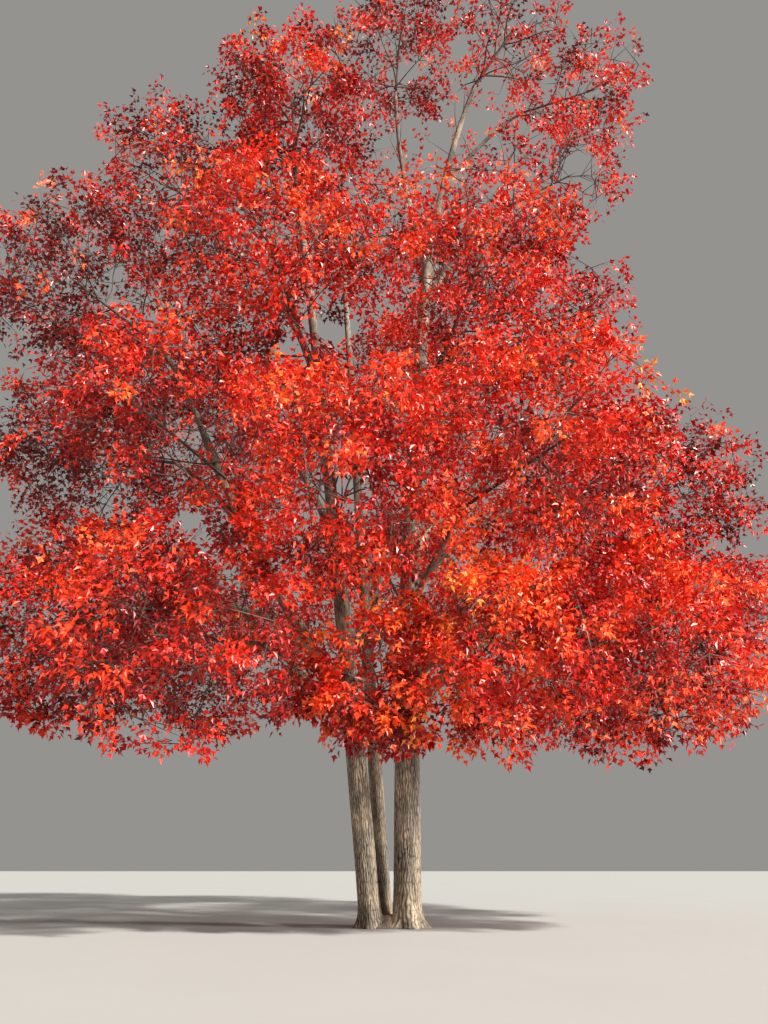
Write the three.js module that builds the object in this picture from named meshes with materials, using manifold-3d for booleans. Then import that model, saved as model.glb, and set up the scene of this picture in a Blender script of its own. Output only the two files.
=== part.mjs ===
// Red maple tree: three stems from one root, boughs all round, and a crown of leaf masses in autumn colour.
// Lengths in the tables are metres from the ground point under the tree. +X is right, +Y away, +Z up.
// The solids themselves are in millimetres.

import * as THREE from "three";
import { mergeVertices } from "three/addons/utils/BufferGeometryUtils.js";
import Module from "manifold-3d";

const wasm = await Module();
wasm.setup();

const METRE = 1000;
const GAP = 0.3 / METRE; // between two pieces that touch

// Stems: x and y at height z are foot + lean * z + bend * z * z.
// Their thickness is given at breast height and at the tip.
const STEMS = {
  stem_right: {
    foot: [0.33, -0.1],
    lean: [0, 0],
    bend: [0.0032, 0],
    top: 15.2,
    breast: 0.49,
    tip: 0.25,
  },
  stem_left: {
    foot: [-0.31, -0.12],
    lean: [-0.1, -0.07],
    bend: [-0.001, 0],
    top: 16.2,
    breast: 0.39,
    tip: 0.13,
  },
  stem_middle: {
    foot: [-0.06, 0.36],
    lean: [-0.07, 0.035],
    bend: [0, 0],
    top: 16.0,
    breast: 0.28,
    tip: 0.11,
  },
};
const BREAST_HEIGHT = 1.3;
const STEM_SIDES = 8;
const STEM_STEP = 1.6; // length of stem between two rings

// Foot: where the three stems run together
const FOOT_HEIGHT = 0.46;
const FLARE = 0.45; // how much wider the foot is at the ground, as a share of the stem
const FLARE_FALL = 0.13; // height in which the flare dies away
const BUTTRESSES = 5;
const BUTTRESS_DEPTH = 0.2; // at the ground, as a share of the radius
const BUTTRESS_TURN = 2; // radians between the buttresses of one stem and those of the next
const FOOT_SIDES = 15;
const FOOT_RINGS = 4;
const COLLAR = { radius: 0.4, topRadius: 0.16, height: 0.2, sides: 14 }; // low mound between the feet
const CLEARING = 4; // width of the block that the stems are cut off at

// Great bough: leaves the left stem low down and carries the left side of the crown
const GREAT_BOUGH = {
  host: "stem_left",
  fork: 3.7,
  tip: [-3.7, -0.5, 8.9],
  bow: [0, 0, -0.04],
  girth: 0.27,
  tipGirth: 0.17,
};

// Masses of leaves: the limb that carries each, the height where its bough leaves that limb, its centre and
// its radius. A mass on a limb's tip or right against the trunk has no bough of its own.
const MASSES = {
  low_left_front: { host: "stem_left", fork: 3.0, centre: [-3.3, -3.7, 4.4], radius: 2.35 },
  low_left: { host: "great_bough", fork: 5.0, centre: [-5.6, -1.3, 5.2], radius: 2.5 },
  low_front: { host: "stem_left", fork: 3.3, centre: [-0.15, -2.9, 3.75], radius: 1.5, onTrunk: true },
  low_right_front: { host: "stem_right", fork: 3.5, centre: [2.0, -2.9, 4.2], radius: 2.1 },
  low_right: { host: "stem_right", fork: 4.3, centre: [4.3, -2.2, 4.5], radius: 2.4 },
  right_low: { host: "stem_right", fork: 5.0, centre: [6.0, 0.3, 5.9], radius: 2.5 },
  right_mid: { host: "stem_right", fork: 6.2, centre: [5.6, -0.4, 8.2], radius: 2.5 },
  front_right_mid: { host: "stem_right", fork: 5.6, centre: [2.7, -3.2, 7.9], radius: 2.6 },
  front_mid: { host: "stem_left", fork: 5.1, centre: [-0.9, -3.8, 7.0], radius: 2.6 },
  front_left_mid: { host: "great_bough", fork: 6.1, centre: [-4.2, -2.9, 8.7], radius: 2.4 },
  left_mid: { host: "great_bough", fork: 7.0, centre: [-6.5, 0.0, 9.6], radius: 2.5 },
  far_left: { host: "great_bough", fork: 8.9, centre: [-6.4, -1.6, 12.7], radius: 2.6 },
  right_high: { host: "stem_right", fork: 8.8, centre: [3.4, -0.9, 12.3], radius: 2.3 },
  front_right_high: { host: "stem_right", fork: 8.0, centre: [1.6, -2.9, 11.8], radius: 2.6 },
  front_left_high: { host: "stem_left", fork: 8.4, centre: [-2.1, -3.0, 12.0], radius: 2.8 },
  left_high: { host: "stem_left", fork: 10.6, centre: [-5.0, -0.8, 16.4], radius: 2.6 },
  top_left: { host: "stem_left", fork: 16.2, centre: [-2.3, -1.4, 18.2], radius: 2.45, onTip: true },
  middle_top: { host: "stem_middle", fork: 16.0, centre: [-0.6, 1.4, 17.3], radius: 2.6, onTip: true },
  right_top: { host: "stem_right", fork: 13.4, centre: [4.0, -1.0, 16.5], radius: 2.2 },
  back_top: { host: "stem_right", fork: 13.9, centre: [2.0, 1.8, 16.4], radius: 2.5 },
  leader_main: { host: "stem_right", fork: 15.2, centre: [3.1, -1.0, 21.5], radius: 2.2, girth: 0.21 },
  leader_left: {
    host: "stem_right",
    fork: 14.4,
    centre: [0.3, -0.8, 21.4],
    radius: 2.2,
    bow: [-0.045, -0.01, 0.02],
  },
  leader_right: { host: "bough_leader_main", fork: 16.9, centre: [4.9, -1.3, 19.2], radius: 1.9 },
  back_low_right: { host: "stem_right", fork: 3.4, centre: [4.0, 3.7, 5.8], radius: 2.7 },
  back_low_left: { host: "stem_middle", fork: 3.6, centre: [-4.0, 3.6, 6.0], radius: 2.7 },
  back_mid: { host: "stem_middle", fork: 5.2, centre: [0.2, 5.2, 8.2], radius: 2.8 },
  back_right_mid: { host: "stem_right", fork: 6.9, centre: [4.6, 3.7, 10.4], radius: 2.7 },
  back_left_mid: { host: "stem_left", fork: 7.0, centre: [-4.4, 3.3, 11.8], radius: 2.7 },
  back_high: { host: "stem_middle", fork: 9.4, centre: [0.8, 3.9, 13.4], radius: 2.8 },
};
const FLATNESS = 0.85; // height of a mass's space as a share of its width
const SPACE_MARGIN = 0.012; // kept free at the edge of each space

// Boughs
const BOW = [0, 0, 0.16]; // how far a bough's middle stands off its chord, as shares of its length
const BOUGH_GIRTH = 0.068; // thickness at its root as a share of the radius of its mass
const BOUGH_TAPER = 0.5; // thickness at the tip as a share of that at the root
const BOUGH_SIDES = 5;
const BOUGH_STEP = 1.1;
const ENTRY = 0.78; // a bough ends at this share of its mass's radius
const ENTRY_STEP = 0.01;
const FEWEST_RINGS = 3;

// Stem of each mass
const MASS_STEM_SIDES = 4;
const MASS_STEM_START = 0.08; // how far inside its limb's end a mass's stem begins before it is cut clear
const MASS_STEM_TAPER = [0.96, 0.45]; // thickness at its two ends as shares of the limb's end
const MASS_STEM_BEYOND = 0.3; // it runs on past the centre of the mass by this share of the radius

// Twigs of each mass
const TWIGS = 10; // tried in each mass
const MASS_TURN = 2.4; // radians by which the twigs of each mass are turned from those of the last
const INWARD = -0.4; // a twig that points back at the trunk more than this is left out
const CUT_SHORT = 0.7; // so is one whose way out is under this share of the radius
const TWIG_SHARE = 0.6; // thickness of a twig at its root as a share of the mass's own stem
const TWIG_TAPER = 0.75;
const TWIG_SIDES = 3;
const TWIG_ROOTS = [0.12, 0.97]; // the part of the stem that twigs leave from
const SWEEP = 0.45; // how far a twig's root is set back along the stem, as a share of the twig's length
const EDGE_INSET = [0.1, 0.34]; // a twig ends short of the edge of the space by this share of the radius

// Sprays of leaves, which stand in a whorl round the end of each twig
const SPRAYS = 5;
const SPRAY = 0.63; // length of a spray as a share of the radius
const SPRAY_THICKNESS = 0.035; // as a share of its length
const SPRAY_WIDEST = { along: 0.56, aside: 0.33 }; // where a spray is widest, as shares of its length
const SPRAY_TILTS = [60, 74, 88, 102, 114]; // degrees from the whorl's axis, tried in this order
const NOTCH = 0.16; // how far out the sprays of a whorl part, as a share of their length
const WHORL_WANDER = 1.4; // how far a whorl may face away from its twig's way out
const LIMB_CLEARANCE = 0.015; // between a spray and a limb
const SEAM_SLACK = 0.3; // millimetres by which the seams between twigs may be smoothed

// Colours
const BARK = { color: 0x7d7266, roughness: 0.9, metalness: 0.0 };
const SMOOTH_BARK = { color: 0x938a7f, roughness: 0.85, metalness: 0.0 };
const LEAF_TINTS = [0xd5281f, 0xe0442a, 0xb31a1c, 0xe2602c, 0xc92024, 0x8e1418];
const LEAF_ROUGHNESS = 0.6;

const UP = new THREE.Vector3(0, 0, 1);
const DOWN = new THREE.Vector3(0, 0, -1);
const SAME_POINT = 1e-3; // millimetres
const HALVINGS = 40; // steps of a search by halving
const DEAL_WAVES = [12.9898, 78.233, 37.719];
const DEAL_SCALE = 43758.5453;

const { lerp, clamp, degToRad } = THREE.MathUtils;
const vector = (list) => new THREE.Vector3(...list);

// A number from 0 to 1 that is always the same for the same three whole numbers
function dealt(mass, twig, use) {
  const wave = DEAL_SCALE * Math.sin(mass * DEAL_WAVES[0] + twig * DEAL_WAVES[1] + use * DEAL_WAVES[2]);
  return wave - Math.floor(wave);
}

// The highest number between two limits for which a test still holds
function lastHolding(test, from, to) {
  let low = from;
  let high = to;
  for (let i = 0; i < HALVINGS; i += 1) {
    const middle = (low + high) / 2;
    if (test(middle)) {
      low = middle;
    } else {
      high = middle;
    }
  }
  return low;
}

// A closed geometry in metres as a solid in millimetres
function solidOf(geometry) {
  const bare = geometry.index ? geometry.toNonIndexed() : geometry.clone();
  bare.deleteAttribute("normal");
  bare.deleteAttribute("uv");
  bare.scale(METRE, METRE, METRE);
  const merged = mergeVertices(bare, SAME_POINT);
  const faces = [];
  for (let i = 0; i < merged.index.count; i += 3) {
    const corners = [0, 1, 2].map((k) => merged.index.getX(i + k));
    if (new Set(corners).size === 3) {
      faces.push(...corners);
    }
  }
  return new wasm.Manifold(new wasm.Mesh({
    numProp: 3,
    vertProperties: new Float32Array(merged.attributes.position.array),
    triVerts: new Uint32Array(faces),
  }));
}

// A solid back as a geometry
function geometryOf(solid) {
  const mesh = solid.getMesh();
  const geometry = new THREE.BufferGeometry();
  geometry.setAttribute("position", new THREE.BufferAttribute(mesh.vertProperties, 3));
  geometry.setIndex(new THREE.BufferAttribute(mesh.triVerts, 1));
  geometry.computeVertexNormals();
  return geometry;
}

// The largest body of a solid: loose scraps are dropped and sealed hollows filled
function mainBody(solid) {
  return solid.decompose().reduce((best, body) => (body.volume() > best.volume() ? body : best));
}

// A round bar swept along a curve: radiusAt gives its radius at each share of the way
function bar(curve, radiusAt, sides, steps) {
  const geometry = new THREE.CylinderGeometry(1, 1, 1, sides, steps);
  const frames = curve.computeFrenetFrames(steps, false);
  const place = geometry.attributes.position;
  for (let i = 0; i < place.count; i += 1) {
    const share = 0.5 - place.getY(i);
    const ring = Math.round(share * steps);
    const radius = radiusAt(share);
    const point = curve.getPointAt(share)
      .addScaledVector(frames.normals[ring], place.getX(i) * radius)
      .addScaledVector(frames.binormals[ring], place.getZ(i) * radius);
    place.setXYZ(i, point.x, point.y, point.z);
  }
  return solidOf(geometry);
}

// A limb: its curve and its radius along it, its solid, a slightly larger solid that cuts others clear of
// it, and a larger one still that twigs and sprays keep out of
function makeLimb(name, curve, rootRadius, tipRadius, sides, step) {
  const steps = Math.max(FEWEST_RINGS, Math.round(curve.getLength() / step));
  const radiusAt = (share) => lerp(rootRadius, tipRadius, share);
  const end = curve.v2.clone().addScaledVector(curve.getTangent(1), GAP);
  const longer = new THREE.QuadraticBezierCurve3(curve.v0, curve.v1, end);
  const guard = bar(longer, (share) => radiusAt(share) + LIMB_CLEARANCE, sides, steps);
  return {
    name,
    curve,
    radiusAt,
    solid: bar(curve, radiusAt, sides, steps),
    cutter: bar(longer, (share) => radiusAt(share) + GAP, sides, steps),
    guard,
    guardBox: guard.boundingBox(),
  };
}

// Share of the way along a limb's curve at which it reaches a height
function shareAtHeight(curve, height) {
  return lastHolding((share) => curve.getPointAt(share).z <= height, 0, 1);
}

// The part of a quadratic curve between two shares of its way
function stretch(curve, from, to) {
  const start = curve.getUtoTmapping(from);
  const end = curve.getUtoTmapping(to);
  const slope = curve.v1.clone().sub(curve.v0).multiplyScalar(2 * (1 - start))
    .addScaledVector(curve.v2.clone().sub(curve.v1), 2 * start);
  const first = curve.getPoint(start);
  const middle = first.clone().addScaledVector(slope, (end - start) / 2);
  return new THREE.QuadraticBezierCurve3(first, middle, curve.getPoint(end));
}

// A curve from one point to another whose middle stands off the straight line by the bow
function bowed(from, to, bow) {
  const middle = from.clone().lerp(to, 0.5).addScaledVector(vector(bow), 2 * from.distanceTo(to));
  return new THREE.QuadraticBezierCurve3(from, middle, to);
}

// A stem's centre line from the ground to its top
function stemCurve({ foot, lean, bend, top }) {
  const at = (z, bendShare) => new THREE.Vector3(
    foot[0] + lean[0] * z + bendShare * bend[0] * z * z,
    foot[1] + lean[1] * z + bendShare * bend[1] * z * z,
    z,
  );
  return new THREE.QuadraticBezierCurve3(at(0, 1), at(top / 2, 0), at(top, 1));
}

// A stem's radius at a height: it tapers evenly from breast height to its tip
function stemRadius(stem, height) {
  return lerp(stem.breast, stem.tip, (height - BREAST_HEIGHT) / (stem.top - BREAST_HEIGHT)) / 2;
}

// One stem's foot, which widens toward the ground in rounded buttresses
function stemFoot(stem, order) {
  const line = stemCurve(stem);
  const geometry = new THREE.CylinderGeometry(1, 1, 1, FOOT_SIDES, FOOT_RINGS);
  const place = geometry.attributes.position;
  for (let i = 0; i < place.count; i += 1) {
    const height = (0.5 - place.getY(i)) * FOOT_HEIGHT;
    const angle = Math.atan2(place.getZ(i), place.getX(i));
    const out = Math.hypot(place.getX(i), place.getZ(i));
    const swell = Math.exp(-height / FLARE_FALL) - Math.exp(-FOOT_HEIGHT / FLARE_FALL);
    const ridge = 1 + BUTTRESS_DEPTH * Math.cos(BUTTRESSES * angle + BUTTRESS_TURN * order) * swell;
    const radius = out * stemRadius(stem, height) * (1 + FLARE * swell) * ridge;
    const centre = line.getPoint(height / stem.top);
    place.setXYZ(i, centre.x + radius * Math.cos(angle), centre.y + radius * Math.sin(angle), height);
  }
  return solidOf(geometry);
}

// The low mound between the three feet
function collar() {
  const geometry = new THREE.CylinderGeometry(COLLAR.topRadius, COLLAR.radius, COLLAR.height, COLLAR.sides);
  geometry.rotateX(Math.PI / 2);
  geometry.translate(0, 0, COLLAR.height / 2);
  return solidOf(geometry);
}

// Foot of the tree: the three stems' feet and the mound as one body
function rootFlare() {
  return Object.values(STEMS).reduce((sum, stem, order) => sum.add(stemFoot(stem, order)), collar());
}

// The block that reaches from below the ground to just above the foot
function footBlock() {
  return solidOf(new THREE.BoxGeometry(CLEARING, CLEARING, 2 * (FOOT_HEIGHT + GAP)));
}

// Space of each mass: its own rounded form, as far as it is nearer to this mass than to any other
const spaces = Object.entries(MASSES).map(([name, { centre, radius }]) => (
  { name, centre: vector(centre), radius }
));

// A measure of how far out a point lies from a mass: below zero inside its rounded form
function power(space, point) {
  const { x, y, z } = point.clone().sub(space.centre);
  return x * x + y * y + (z / FLATNESS) ** 2 - space.radius ** 2;
}

// True where a point is in a mass's own space
function isInSpace(space, point) {
  const own = power(space, point) + 2 * SPACE_MARGIN * space.radius;
  return own < 0 && spaces.every((other) => other === space || own < power(other, point));
}

// Distance from the centre to the edge of a mass's space in one direction
function reachOf(space, direction) {
  const pointAt = (distance) => space.centre.clone().addScaledVector(direction, distance);
  return lastHolding((distance) => isInSpace(space, pointAt(distance)), 0, space.radius);
}

// True where a solid keeps clear of all the limbs
function isClear(solid, limbs) {
  const box = solid.boundingBox();
  return limbs.every(({ guard, guardBox }) => {
    const apart = [0, 1, 2].some((k) => box.min[k] > guardBox.max[k] || box.max[k] < guardBox.min[k]);
    return apart || guard.intersect(solid).isEmpty();
  });
}

// One of a number of evenly spread directions, by the golden angle
function spread(order, count) {
  const golden = Math.PI * (3 - Math.sqrt(5));
  const height = 1 - (2 * order + 1) / count;
  const out = Math.sqrt(1 - height * height);
  return new THREE.Vector3(Math.cos(golden * order) * out, Math.sin(golden * order) * out, height);
}

// A direction turned square to another
function squareTo(direction, axis) {
  return direction.clone().addScaledVector(axis, -direction.dot(axis)).normalize();
}

// The twigs of a mass: each leaves the stem and runs to a point just inside the edge of the space
function twigsOf(space, order, stem) {
  const away = space.centre.clone().setZ(0).normalize();
  const twigs = [];
  for (let k = 0; k < TWIGS; k += 1) {
    const outward = spread(k, TWIGS).applyAxisAngle(UP, order * MASS_TURN);
    const reach = reachOf(space, outward);
    if (outward.dot(away) < INWARD || reach < CUT_SHORT * space.radius) {
      continue;
    }
    const inset = lerp(...EDGE_INSET, dealt(order, k, 1) ** 2) * space.radius;
    const tip = space.centre.clone().addScaledVector(outward, reach - inset);
    const nearest = clamp(tip.clone().sub(stem.v1).dot(stem.getTangent(0)) / stem.getLength() + 1, 0, 1);
    const setBack = SWEEP * stem.getPoint(nearest).distanceTo(tip) / stem.getLength();
    const rootShare = clamp(nearest - setBack, ...TWIG_ROOTS);
    const root = stem.getPoint(rootShare);
    const heading = tip.clone().sub(root).normalize();
    const wander = new THREE.Vector3(...[3, 4, 5].map((use) => dealt(order, k, use) - 0.5));
    const axis = outward.add(heading).addScaledVector(wander, WHORL_WANDER).normalize();
    twigs.push({ root, tip, rootShare, heading, axis, turn: dealt(order, k, 2) });
  }
  return twigs;
}

// A twig alone: a three-sided bar that tapers
function bareTwig({ root, tip }, radius) {
  const radiusAt = (share) => radius * lerp(1, TWIG_TAPER, share);
  return bar(new THREE.LineCurve3(root, tip), radiusAt, TWIG_SIDES, 1);
}

// Outline of one spray of leaves, a kite: its right corner, its tip and its left corner
function sprayCorners(root, direction, axis, length) {
  const side = axis.clone().cross(direction).normalize();
  const corner = (along, aside) => root.clone()
    .addScaledVector(direction, along * length)
    .addScaledVector(side, aside * length);
  return [
    corner(SPRAY_WIDEST.along, -SPRAY_WIDEST.aside),
    corner(1, 0),
    corner(SPRAY_WIDEST.along, SPRAY_WIDEST.aside),
  ];
}

// A solid a little thicker than one spray, to try whether the spray would touch anything
function trialSpray(root, corners, axis, length) {
  const thickness = SPRAY_THICKNESS * length;
  const under = [root, ...corners].map((point) => point.clone().addScaledVector(axis, -thickness));
  const peak = corners[0].clone().lerp(corners[2], 0.5).addScaledVector(axis, thickness);
  const geometry = new THREE.BufferGeometry().setFromPoints([...under, peak]);
  geometry.setIndex([0, 1, 4, 1, 2, 4, 2, 3, 4, 3, 0, 4, 0, 3, 1, 1, 3, 2]);
  return solidOf(geometry);
}

// The sprays round a twig's end. Each takes the first tilt at which it stays in the space and touches
// nothing, or is left out. Between two sprays the whorl's outline comes in to a notch.
function spraysOf(twig, space, length, limbs, others) {
  const turn = degToRad(360 / SPRAYS);
  const hanging = squareTo(DOWN, twig.axis);
  const fits = (corners) => {
    if (!corners.every((corner) => isInSpace(space, corner))) {
      return false;
    }
    const trial = trialSpray(twig.tip, corners, twig.axis, length);
    return isClear(trial, limbs) && others.every((other) => other.intersect(trial).isEmpty());
  };
  return Array.from({ length: SPRAYS }, (_, i) => {
    const across = hanging.clone().applyAxisAngle(twig.axis, turn * (i + twig.turn));
    const tries = SPRAY_TILTS.map(degToRad).map((tilt) => {
      const direction = twig.axis.clone().multiplyScalar(Math.cos(tilt))
        .addScaledVector(across, Math.sin(tilt));
      return sprayCorners(twig.tip, direction, twig.axis, length);
    });
    const between = across.clone().applyAxisAngle(twig.axis, turn / 2);
    const notch = twig.tip.clone().addScaledVector(between, NOTCH * length);
    return { corners: tries.find(fits) ?? [], notch };
  });
}

// A twig and its whorl of sprays as one closed body. The outline of the whorl is joined to a raised middle
// above it and to the end of the twig below it.
function whorl({ root, tip, heading, axis }, radius, sprays, length) {
  const outline = sprays.flatMap(({ corners, notch }) => [...corners, notch]);
  const hanging = squareTo(DOWN, heading);
  const ways = Array.from({ length: TWIG_SIDES }, (_, k) => (
    hanging.clone().applyAxisAngle(heading, degToRad(360 * k / TWIG_SIDES))
  ));
  const tipRing = ways.map((way) => tip.clone().addScaledVector(way, radius * TWIG_TAPER));
  const rootRing = ways.map((way) => root.clone().addScaledVector(way, radius));
  const peak = tip.clone().addScaledVector(axis, SPRAY_THICKNESS * length);
  const points = [...outline, ...tipRing, ...rootRing, peak];
  const atTip = (k) => outline.length + k;
  const atRoot = (k) => outline.length + TWIG_SIDES + k;
  const nearestSide = (i) => {
    const middle = outline[i].clone().lerp(outline[(i + 1) % outline.length], 0.5).sub(tip);
    return ways.reduce((best, way, k) => (middle.dot(way) > middle.dot(ways[best]) ? k : best), 0);
  };
  const faces = [];
  for (let i = 0; i < outline.length; i += 1) {
    const next = (i + 1) % outline.length;
    faces.push(i, next, points.length - 1, next, i, atTip(nearestSide(i)));
    if (nearestSide(next) !== nearestSide(i)) {
      faces.push(next, atTip(nearestSide(i)), atTip(nearestSide(next)));
    }
  }
  for (let k = 0; k < TWIG_SIDES; k += 1) {
    const next = (k + 1) % TWIG_SIDES;
    faces.push(atTip(k), atRoot(next), atTip(next), atTip(k), atRoot(k), atRoot(next));
  }
  faces.push(atRoot(0), atRoot(2), atRoot(1));
  const geometry = new THREE.BufferGeometry().setFromPoints(points);
  geometry.setIndex(faces);
  return solidOf(geometry);
}

// The straight stem of a mass, from just inside the limb that carries it to past the centre of the mass
function massStem(limb, from, to, limbRadius) {
  const start = from.clone().addScaledVector(to.clone().sub(from).normalize(), -MASS_STEM_START);
  return {
    curve: new THREE.LineCurve3(start, to),
    radiusAt: (share) => limbRadius * lerp(...MASS_STEM_TAPER, share),
    cutter: limb.cutter,
  };
}

// One mass of leaves: its stem and its twigs with their whorls, fused into one body and cut clear of its
// limb
function leafMass(space, order, stem, limbs) {
  const length = space.radius * SPRAY;
  const twigs = twigsOf(space, order, stem.curve)
    .map((twig) => ({ ...twig, radius: stem.radiusAt(twig.rootShare) * TWIG_SHARE }))
    .map((twig) => ({ ...twig, solid: bareTwig(twig, twig.radius) }))
    .filter((twig) => isInSpace(space, twig.tip) && isClear(twig.solid, limbs));
  const whorls = [];
  for (const twig of twigs) {
    const otherTwigs = twigs.filter((other) => other !== twig).map((other) => other.solid);
    const sprays = spraysOf(twig, space, length, limbs, [...otherTwigs, ...whorls]);
    if (sprays.some(({ corners }) => corners.length > 0)) {
      whorls.push(whorl(twig, twig.radius, sprays, length));
    }
  }
  const bareStem = bar(stem.curve, stem.radiusAt, MASS_STEM_SIDES, 1);
  const fused = whorls.reduce((sum, solid) => sum.add(solid), bareStem).simplify(SEAM_SLACK);
  return mainBody(fused.subtract(stem.cutter));
}

// The three stems, cut off level just above the foot
function addStems(limbs) {
  const start = FOOT_HEIGHT / 2;
  for (const [name, stem] of Object.entries(STEMS)) {
    const whole = stemCurve(stem);
    const curve = stretch(whole, shareAtHeight(whole, start), 1);
    const limb = makeLimb(name, curve, stemRadius(stem, start), stem.tip / 2, STEM_SIDES, STEM_STEP);
    limb.solid = limb.solid.subtract(footBlock());
    limbs[name] = limb;
  }
}

// A bough, cut clear of the limb that it leaves
function addBough(limbs, name, host, curve, rootRadius, tipRadius) {
  const limb = makeLimb(name, curve, rootRadius, tipRadius, BOUGH_SIDES, BOUGH_STEP);
  limb.solid = mainBody(limb.solid.subtract(host.cutter));
  limbs[name] = limb;
}

// The great bough, which carries boughs of its own
function addGreatBough(limbs) {
  const { host, fork, tip, bow, girth, tipGirth } = GREAT_BOUGH;
  const from = limbs[host].curve.getPointAt(shareAtHeight(limbs[host].curve, fork));
  addBough(limbs, "great_bough", limbs[host], bowed(from, vector(tip), bow), girth / 2, tipGirth / 2);
}

// Share of the way along a curve to a mass's centre at which it is well inside the mass's space
function entryOf(space, curve) {
  let entry = 1;
  const edge = (ENTRY ** 2 - 1) * space.radius ** 2;
  const isInside = (point) => power(space, point) < edge && isInSpace(space, point);
  while (entry > 0 && isInside(curve.getPointAt(entry))) {
    entry -= ENTRY_STEP;
  }
  return entry;
}

// The bough that carries a mass, if it needs one, and the mass's own stem
function addCarrier(limbs, space) {
  const mass = MASSES[space.name];
  const host = limbs[mass.host];
  const from = host.curve.getPointAt(mass.onTip ? 1 : shareAtHeight(host.curve, mass.fork));
  const whole = bowed(from, space.centre, mass.bow ?? BOW);
  const end = space.centre.clone().addScaledVector(whole.getTangent(1), MASS_STEM_BEYOND * space.radius);
  const radius = (mass.girth ?? BOUGH_GIRTH * mass.radius) / 2;
  if (mass.onTip || mass.onTrunk) {
    return massStem(host, from, end, mass.onTip ? host.radiusAt(1) : radius);
  }
  const name = `bough_${space.name}`;
  const tipRadius = radius * BOUGH_TAPER;
  addBough(limbs, name, host, stretch(whole, 0, entryOf(space, whole)), radius, tipRadius);
  return massStem(limbs[name], limbs[name].curve.getPointAt(1), end, tipRadius);
}

// One named mesh with its own material
function node(name, solid, look) {
  const mesh = new THREE.Mesh(geometryOf(solid), new THREE.MeshStandardMaterial(look));
  mesh.name = name;
  return mesh;
}

// The whole tree
function redMaple() {
  const limbs = {};
  addStems(limbs);
  addGreatBough(limbs);
  const stems = spaces.map((space) => addCarrier(limbs, space));
  const allLimbs = Object.values(limbs);
  const tree = new THREE.Group();
  tree.name = "red_maple_tree";
  tree.add(node("root_flare", rootFlare(), BARK));
  for (const limb of allLimbs) {
    tree.add(node(limb.name, limb.solid, limb.name in STEMS ? BARK : SMOOTH_BARK));
  }
  spaces.forEach((space, order) => {
    const look = { color: LEAF_TINTS[order % LEAF_TINTS.length], roughness: LEAF_ROUGHNESS, metalness: 0 };
    tree.add(node(`leaves_${space.name}`, leafMass(space, order, stems[order], allLimbs), look));
  });
  return tree;
}

export default redMaple();
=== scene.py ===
"""Red maple tree in full autumn colour: its bark, twigs and leaves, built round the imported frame."""

import math
import bpy
import numpy as np
from bpy.props import FloatProperty, FloatVectorProperty, IntProperty, PointerProperty
from mathutils import Euler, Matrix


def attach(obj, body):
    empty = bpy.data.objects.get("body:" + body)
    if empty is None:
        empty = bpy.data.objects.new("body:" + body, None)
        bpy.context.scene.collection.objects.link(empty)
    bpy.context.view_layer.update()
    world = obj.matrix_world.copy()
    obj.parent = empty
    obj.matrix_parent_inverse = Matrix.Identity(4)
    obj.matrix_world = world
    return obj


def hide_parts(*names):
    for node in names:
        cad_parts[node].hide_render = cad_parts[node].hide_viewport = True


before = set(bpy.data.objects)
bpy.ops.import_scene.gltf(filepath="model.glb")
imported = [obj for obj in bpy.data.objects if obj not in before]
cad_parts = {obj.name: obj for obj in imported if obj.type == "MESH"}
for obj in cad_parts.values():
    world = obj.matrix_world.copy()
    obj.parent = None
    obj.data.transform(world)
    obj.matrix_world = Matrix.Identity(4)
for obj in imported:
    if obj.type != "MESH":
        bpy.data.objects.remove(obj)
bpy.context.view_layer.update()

bl_info = {
    "name": "Red maple tree",
    "version": (1, 0, 0),
    "blender": (4, 5, 0),
    "location": "View3D > Sidebar > Red Maple",
    "description": "Builds the bark, twigs and leaves of a three-stemmed red maple round its frame",
    "category": "Add Mesh",
}

# Stems: x and y at height z are foot + lean * z + bend * z * z. Breast and tip are the thickness there.
STEMS = {
    "stem_right": dict(
        foot=(0.33, -0.1), lean=(0, 0), bend=(0.0032, 0), top=15.2, breast=0.49, tip=0.25
    ),
    "stem_left": dict(
        foot=(-0.31, -0.12), lean=(-0.1, -0.07), bend=(-0.001, 0), top=16.2, breast=0.39, tip=0.13
    ),
    "stem_middle": dict(
        foot=(-0.06, 0.36), lean=(-0.07, 0.035), bend=(0, 0), top=16.0, breast=0.28, tip=0.11
    ),
}
BREAST_HEIGHT = 1.3
FOOT_HEIGHT = 0.46
FLARE = 0.45  # how much thicker a stem is at its foot
FLARE_FALL = 0.13  # metres
BUTTRESSES = 5
BUTTRESS_DEPTH = 0.2
BUTTRESS_TURN = 2  # radians of their wave from one stem to the next
MOUND = dict(radius=0.4, top_radius=0.16, height=0.2)

GREAT_BOUGH = dict(
    host="stem_left", fork=3.7, tip=(-3.7, -0.5, 8.9), bow=(0, 0, -0.04), girth=0.27, tip_girth=0.17
)


def mass_of(host, fork, centre, radius, warmth, fill=1.0, **more):
    """A mass of leaves: the limb that carries it, the height where its bough leaves that limb, its
    centre and its radius. Warmth runs from 0, maroon, to 1, amber. Fill multiplies a shoot's chance."""
    return dict(host=host, fork=fork, centre=centre, radius=radius, warmth=warmth, fill=fill, **more)


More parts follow.
